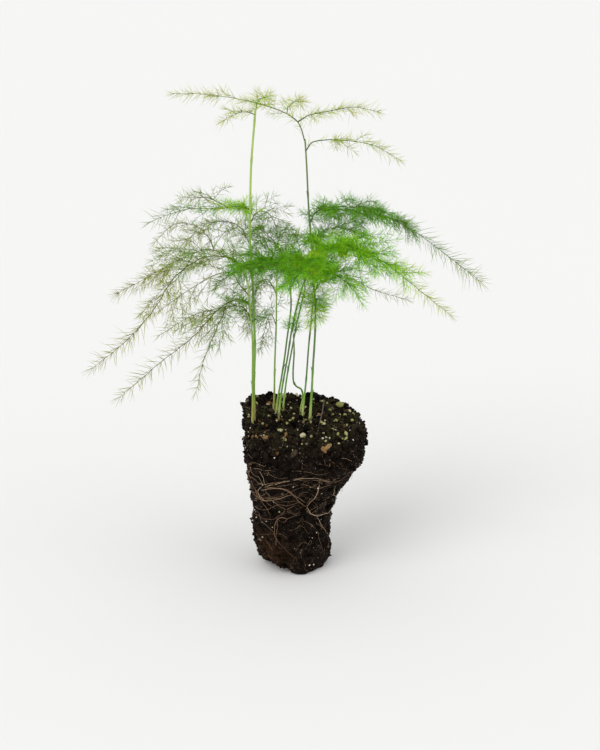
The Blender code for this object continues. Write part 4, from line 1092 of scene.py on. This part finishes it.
def side_shoot(pile, rng, base, way, ahead, up, length, droop, needle, gap, per, tint, thick=0.075, order=1, lace=0.30):
    """One curved branchlet with its needles, and on a long one its own small shoots."""
    s = np.linspace(0, 1, max(4, int(length / 0.8)))[:, None]
    line = base + length * (way * s + ahead * (0.22 * s ** 2) - np.array([0, 0, droop]) * s ** 2)
    line = line + 0.02 * length * np.sin(s * 7 + rng.uniform(0, 6)) * up
    bt = tangents(line)
    bs = unit(np.cross(bt, up))
    bu = np.cross(bs, bt)
    own = tint + rng.normal(0, 0.04)
    bark = min(own * 0.80, 0.62) if own < 0.87 else 0.62
    pile.tube(line, np.linspace(thick, 0.034, len(line)), 4, float(np.clip(bark, 0.03, 0.97)), 0.03, v=(0.70, 0.93))
    tufts(pile, rng, line, bt, bs, bu, gap, per, needle, lambda y, own=own: own + 0.05 * y, 0.08 * length + 0.4, 0.85, 0.95)
    if order and length > 5.0:
        hand = rng.choice([-1, 1])
        for at in np.arange(0.22, 0.82, (3.0 if lace > 0.4 else 2.4) / length):
            k = int(at * (len(line) - 1))
            hand = -hand
            small = unit(bt[k] * 0.75 + bs[k] * hand * 0.8 + bu[k] * rng.normal(0, 0.35))
            side_shoot(pile, rng, line[k], small, bt[k], bu[k], (lace * length * (1.1 - at) + 1.4) * rng.uniform(0.8, 1.2),
                       droop, needle * 0.9, gap * 1.05, per - 0.5, own, 0.05, 0)


def make_frond(name, spec):
    route, needle, gap, per, branch, tints, cushions = spec
    rng = seeded(name)
    line = curve_through(route, 0.5)
    run = lengths_along(line)
    whole = run[-1]
    heading = unit(np.array([line[-1, 0] - line[0, 0], line[-1, 1] - line[0, 1], 0.0]))
    t, side, up = frames(line, heading)
    line = line + 0.12 * np.sin(run / 2.6 * math.pi)[:, None] * side * np.clip(run / 4, 0, 1)[:, None]
    share = run / whole

    def tint(x):
        return float(np.interp(x, [0.0, 0.18, 0.55, 0.82, 1.0],
                               [tints[0], tints[0], tints[1], (tints[1] + tints[2]) / 2, tints[2]]))

    def at(x):
        return [np.array([np.interp(x * whole, run, a[:, c]) for c in range(3)]) for a in (line, t, side, up)]

    pile = Pile()
    young = tints[1] > 0.87
    olive = any(word in name for word in OLIVE)
    thick = (0.17 if olive else 0.19) if whole > 25 else 0.15
    radii = thick + (0.055 - thick) * share ** 0.8
    pile.tube(line, radii, 6, 0.42 if young else float(np.clip(tints[1] * 0.8, 0.05, 0.62)), 0.05, v=(0.70, 0.93))
    b_from, b_to, b_len, b_gap, spread, droop = branch
    hand = 1
    for x in np.arange(b_from * whole + 0.6, b_to * whole, b_gap) / whole:
        x = x + rng.uniform(-0.25, 0.25) * b_gap / whole
        p, tt, ss, uu = at(x)
        span = float(np.clip((x - b_from) / max(b_to - b_from, 1e-6), 0, 1))
        size = b_len * (0.45 + 0.55 * min(span / 0.22, 1)) * (1 - 0.66 * max(span - 0.30, 0) / 0.70) * rng.uniform(0.7, 1.15)
        hand = -hand
        open_ = math.radians(rng.uniform(42, 66))
        lift = rng.normal(0.02, spread)
        way = unit(tt * math.cos(open_) + (ss * hand * math.cos(lift) + uu * math.sin(lift)) * math.sin(open_))
        side_shoot(pile, rng, p, way, tt, uu, size, droop, needle * 0.92, gap, per - (0.65 if olive else 0.4), tint(x),
                   lace=0.42 if olive else 0.30)
    tufts(pile, rng, line, t, side, up, gap * 1.4, per - 1, needle * 0.85, tint, 1.2, 0.95, end_boost=False)
    tail = share >= b_to - 0.10
    if tail.sum() > 3:
        x0 = share[tail][0]
        fuller = 1.45 if olive else 1.3 if name == "frond_right_front" else 0.95
        longer = 1.4 if "upper" in name else 1.12 if olive else 1.0
        tufts(pile, rng, line[tail], t[tail], side[tail], up[tail], gap, per * fuller, needle * longer,
              lambda y: tint(x0 + (1 - x0) * y), 0.2, 0.9)
    for x, count, length, own in cushions:
        p, tt, ss, uu = at(x)
        for k in range(count):
            way = unit(rng.normal(size=3) * [1, 1, 0.55] + 0.25 * tt)
            start = p + tt * rng.uniform(-0.09, 0.09) * whole * 0.5
            side_shoot(pile, rng, start, way, tt, uu, length * rng.uniform(0.7, 1.2), 0.08, needle * 0.72, gap * 0.62, per + 1,
                       own, 0.06, 0)
    obj = pile.make(name + "_needles", foliage_olive if olive else foliage_green)
    finish_piece(obj, "foliage_olive" if olive else "foliage", name)


for frond_name, frond_spec in FRONDS.items():
    make_frond(frond_name, frond_spec)


# ------------------------------------------------------------------ stage, light, camera
def make_stage():
    made = Nodes("floor_paper", 0.9)
    place = made.node("ShaderNodeTexCoord").outputs["Object"]
    tooth = made.noise(3.0, 2.0, 0.5, place)
    made.colour(made.mix(tooth, (0.745, 0.745, 0.742), (0.755, 0.755, 0.752)))
    made.shader.inputs["Specular IOR Level"].default_value = 0.1
    mesh = bpy.data.meshes.new("floor")
    s = 6.0
    mesh.from_pydata([(-s, -s, 0), (s, -s, 0), (s, s, 0), (-s, s, 0)], [], [(0, 1, 2, 3)])
    mesh.materials.append(made.material)
    floor = bpy.data.objects.new("floor", mesh)
    bpy.context.scene.collection.objects.link(floor)

    world = bpy.data.worlds.new("studio")
    bpy.context.scene.world = world
    world.use_nodes = True
    world.node_tree.nodes["Background"].inputs[0].default_value = (1.0, 1.0, 1.0, 1)
    world.node_tree.nodes["Background"].inputs[1].default_value = 0.90

    def sun(name, way, strength, angle, colour=(1, 1, 1)):
        light = bpy.data.lights.new(name, "SUN")
        light.energy = strength
        light.angle = math.radians(angle)
        light.color = colour
        obj = bpy.data.objects.new(name, light)
        obj.rotation_euler = Vector(way).to_track_quat("-Z", "Y").to_euler()
        bpy.context.scene.collection.objects.link(obj)

    sun("key", (0.55, 0.62, -0.80), 1.25, 38, (1.0, 0.985, 0.96))
    sun("fill", (-0.75, 0.35, -0.55), 0.35, 50, (0.97, 0.985, 1.0))

    camera = bpy.data.cameras.new("camera")
    camera.lens = 78.69
    camera.sensor_width = 36.0
    camera.clip_start = 0.01
    camera.clip_end = 50.0
    obj = bpy.data.objects.new("camera", camera)
    pitch, reach, target = math.radians(20), 0.5, Vector((0.00286, 0.0, 0.063))
    ahead = Vector((0, math.cos(pitch), -math.sin(pitch)))
    obj.location = target - ahead * reach
    obj.rotation_euler = ahead.to_track_quat("-Z", "Y").to_euler()
    bpy.context.scene.collection.objects.link(obj)
    bpy.context.scene.camera = obj
    bpy.context.scene.view_settings.view_transform = "Standard"
    bpy.context.scene.view_settings.look = "None"


make_stage()

bpy.context.view_layer.update()
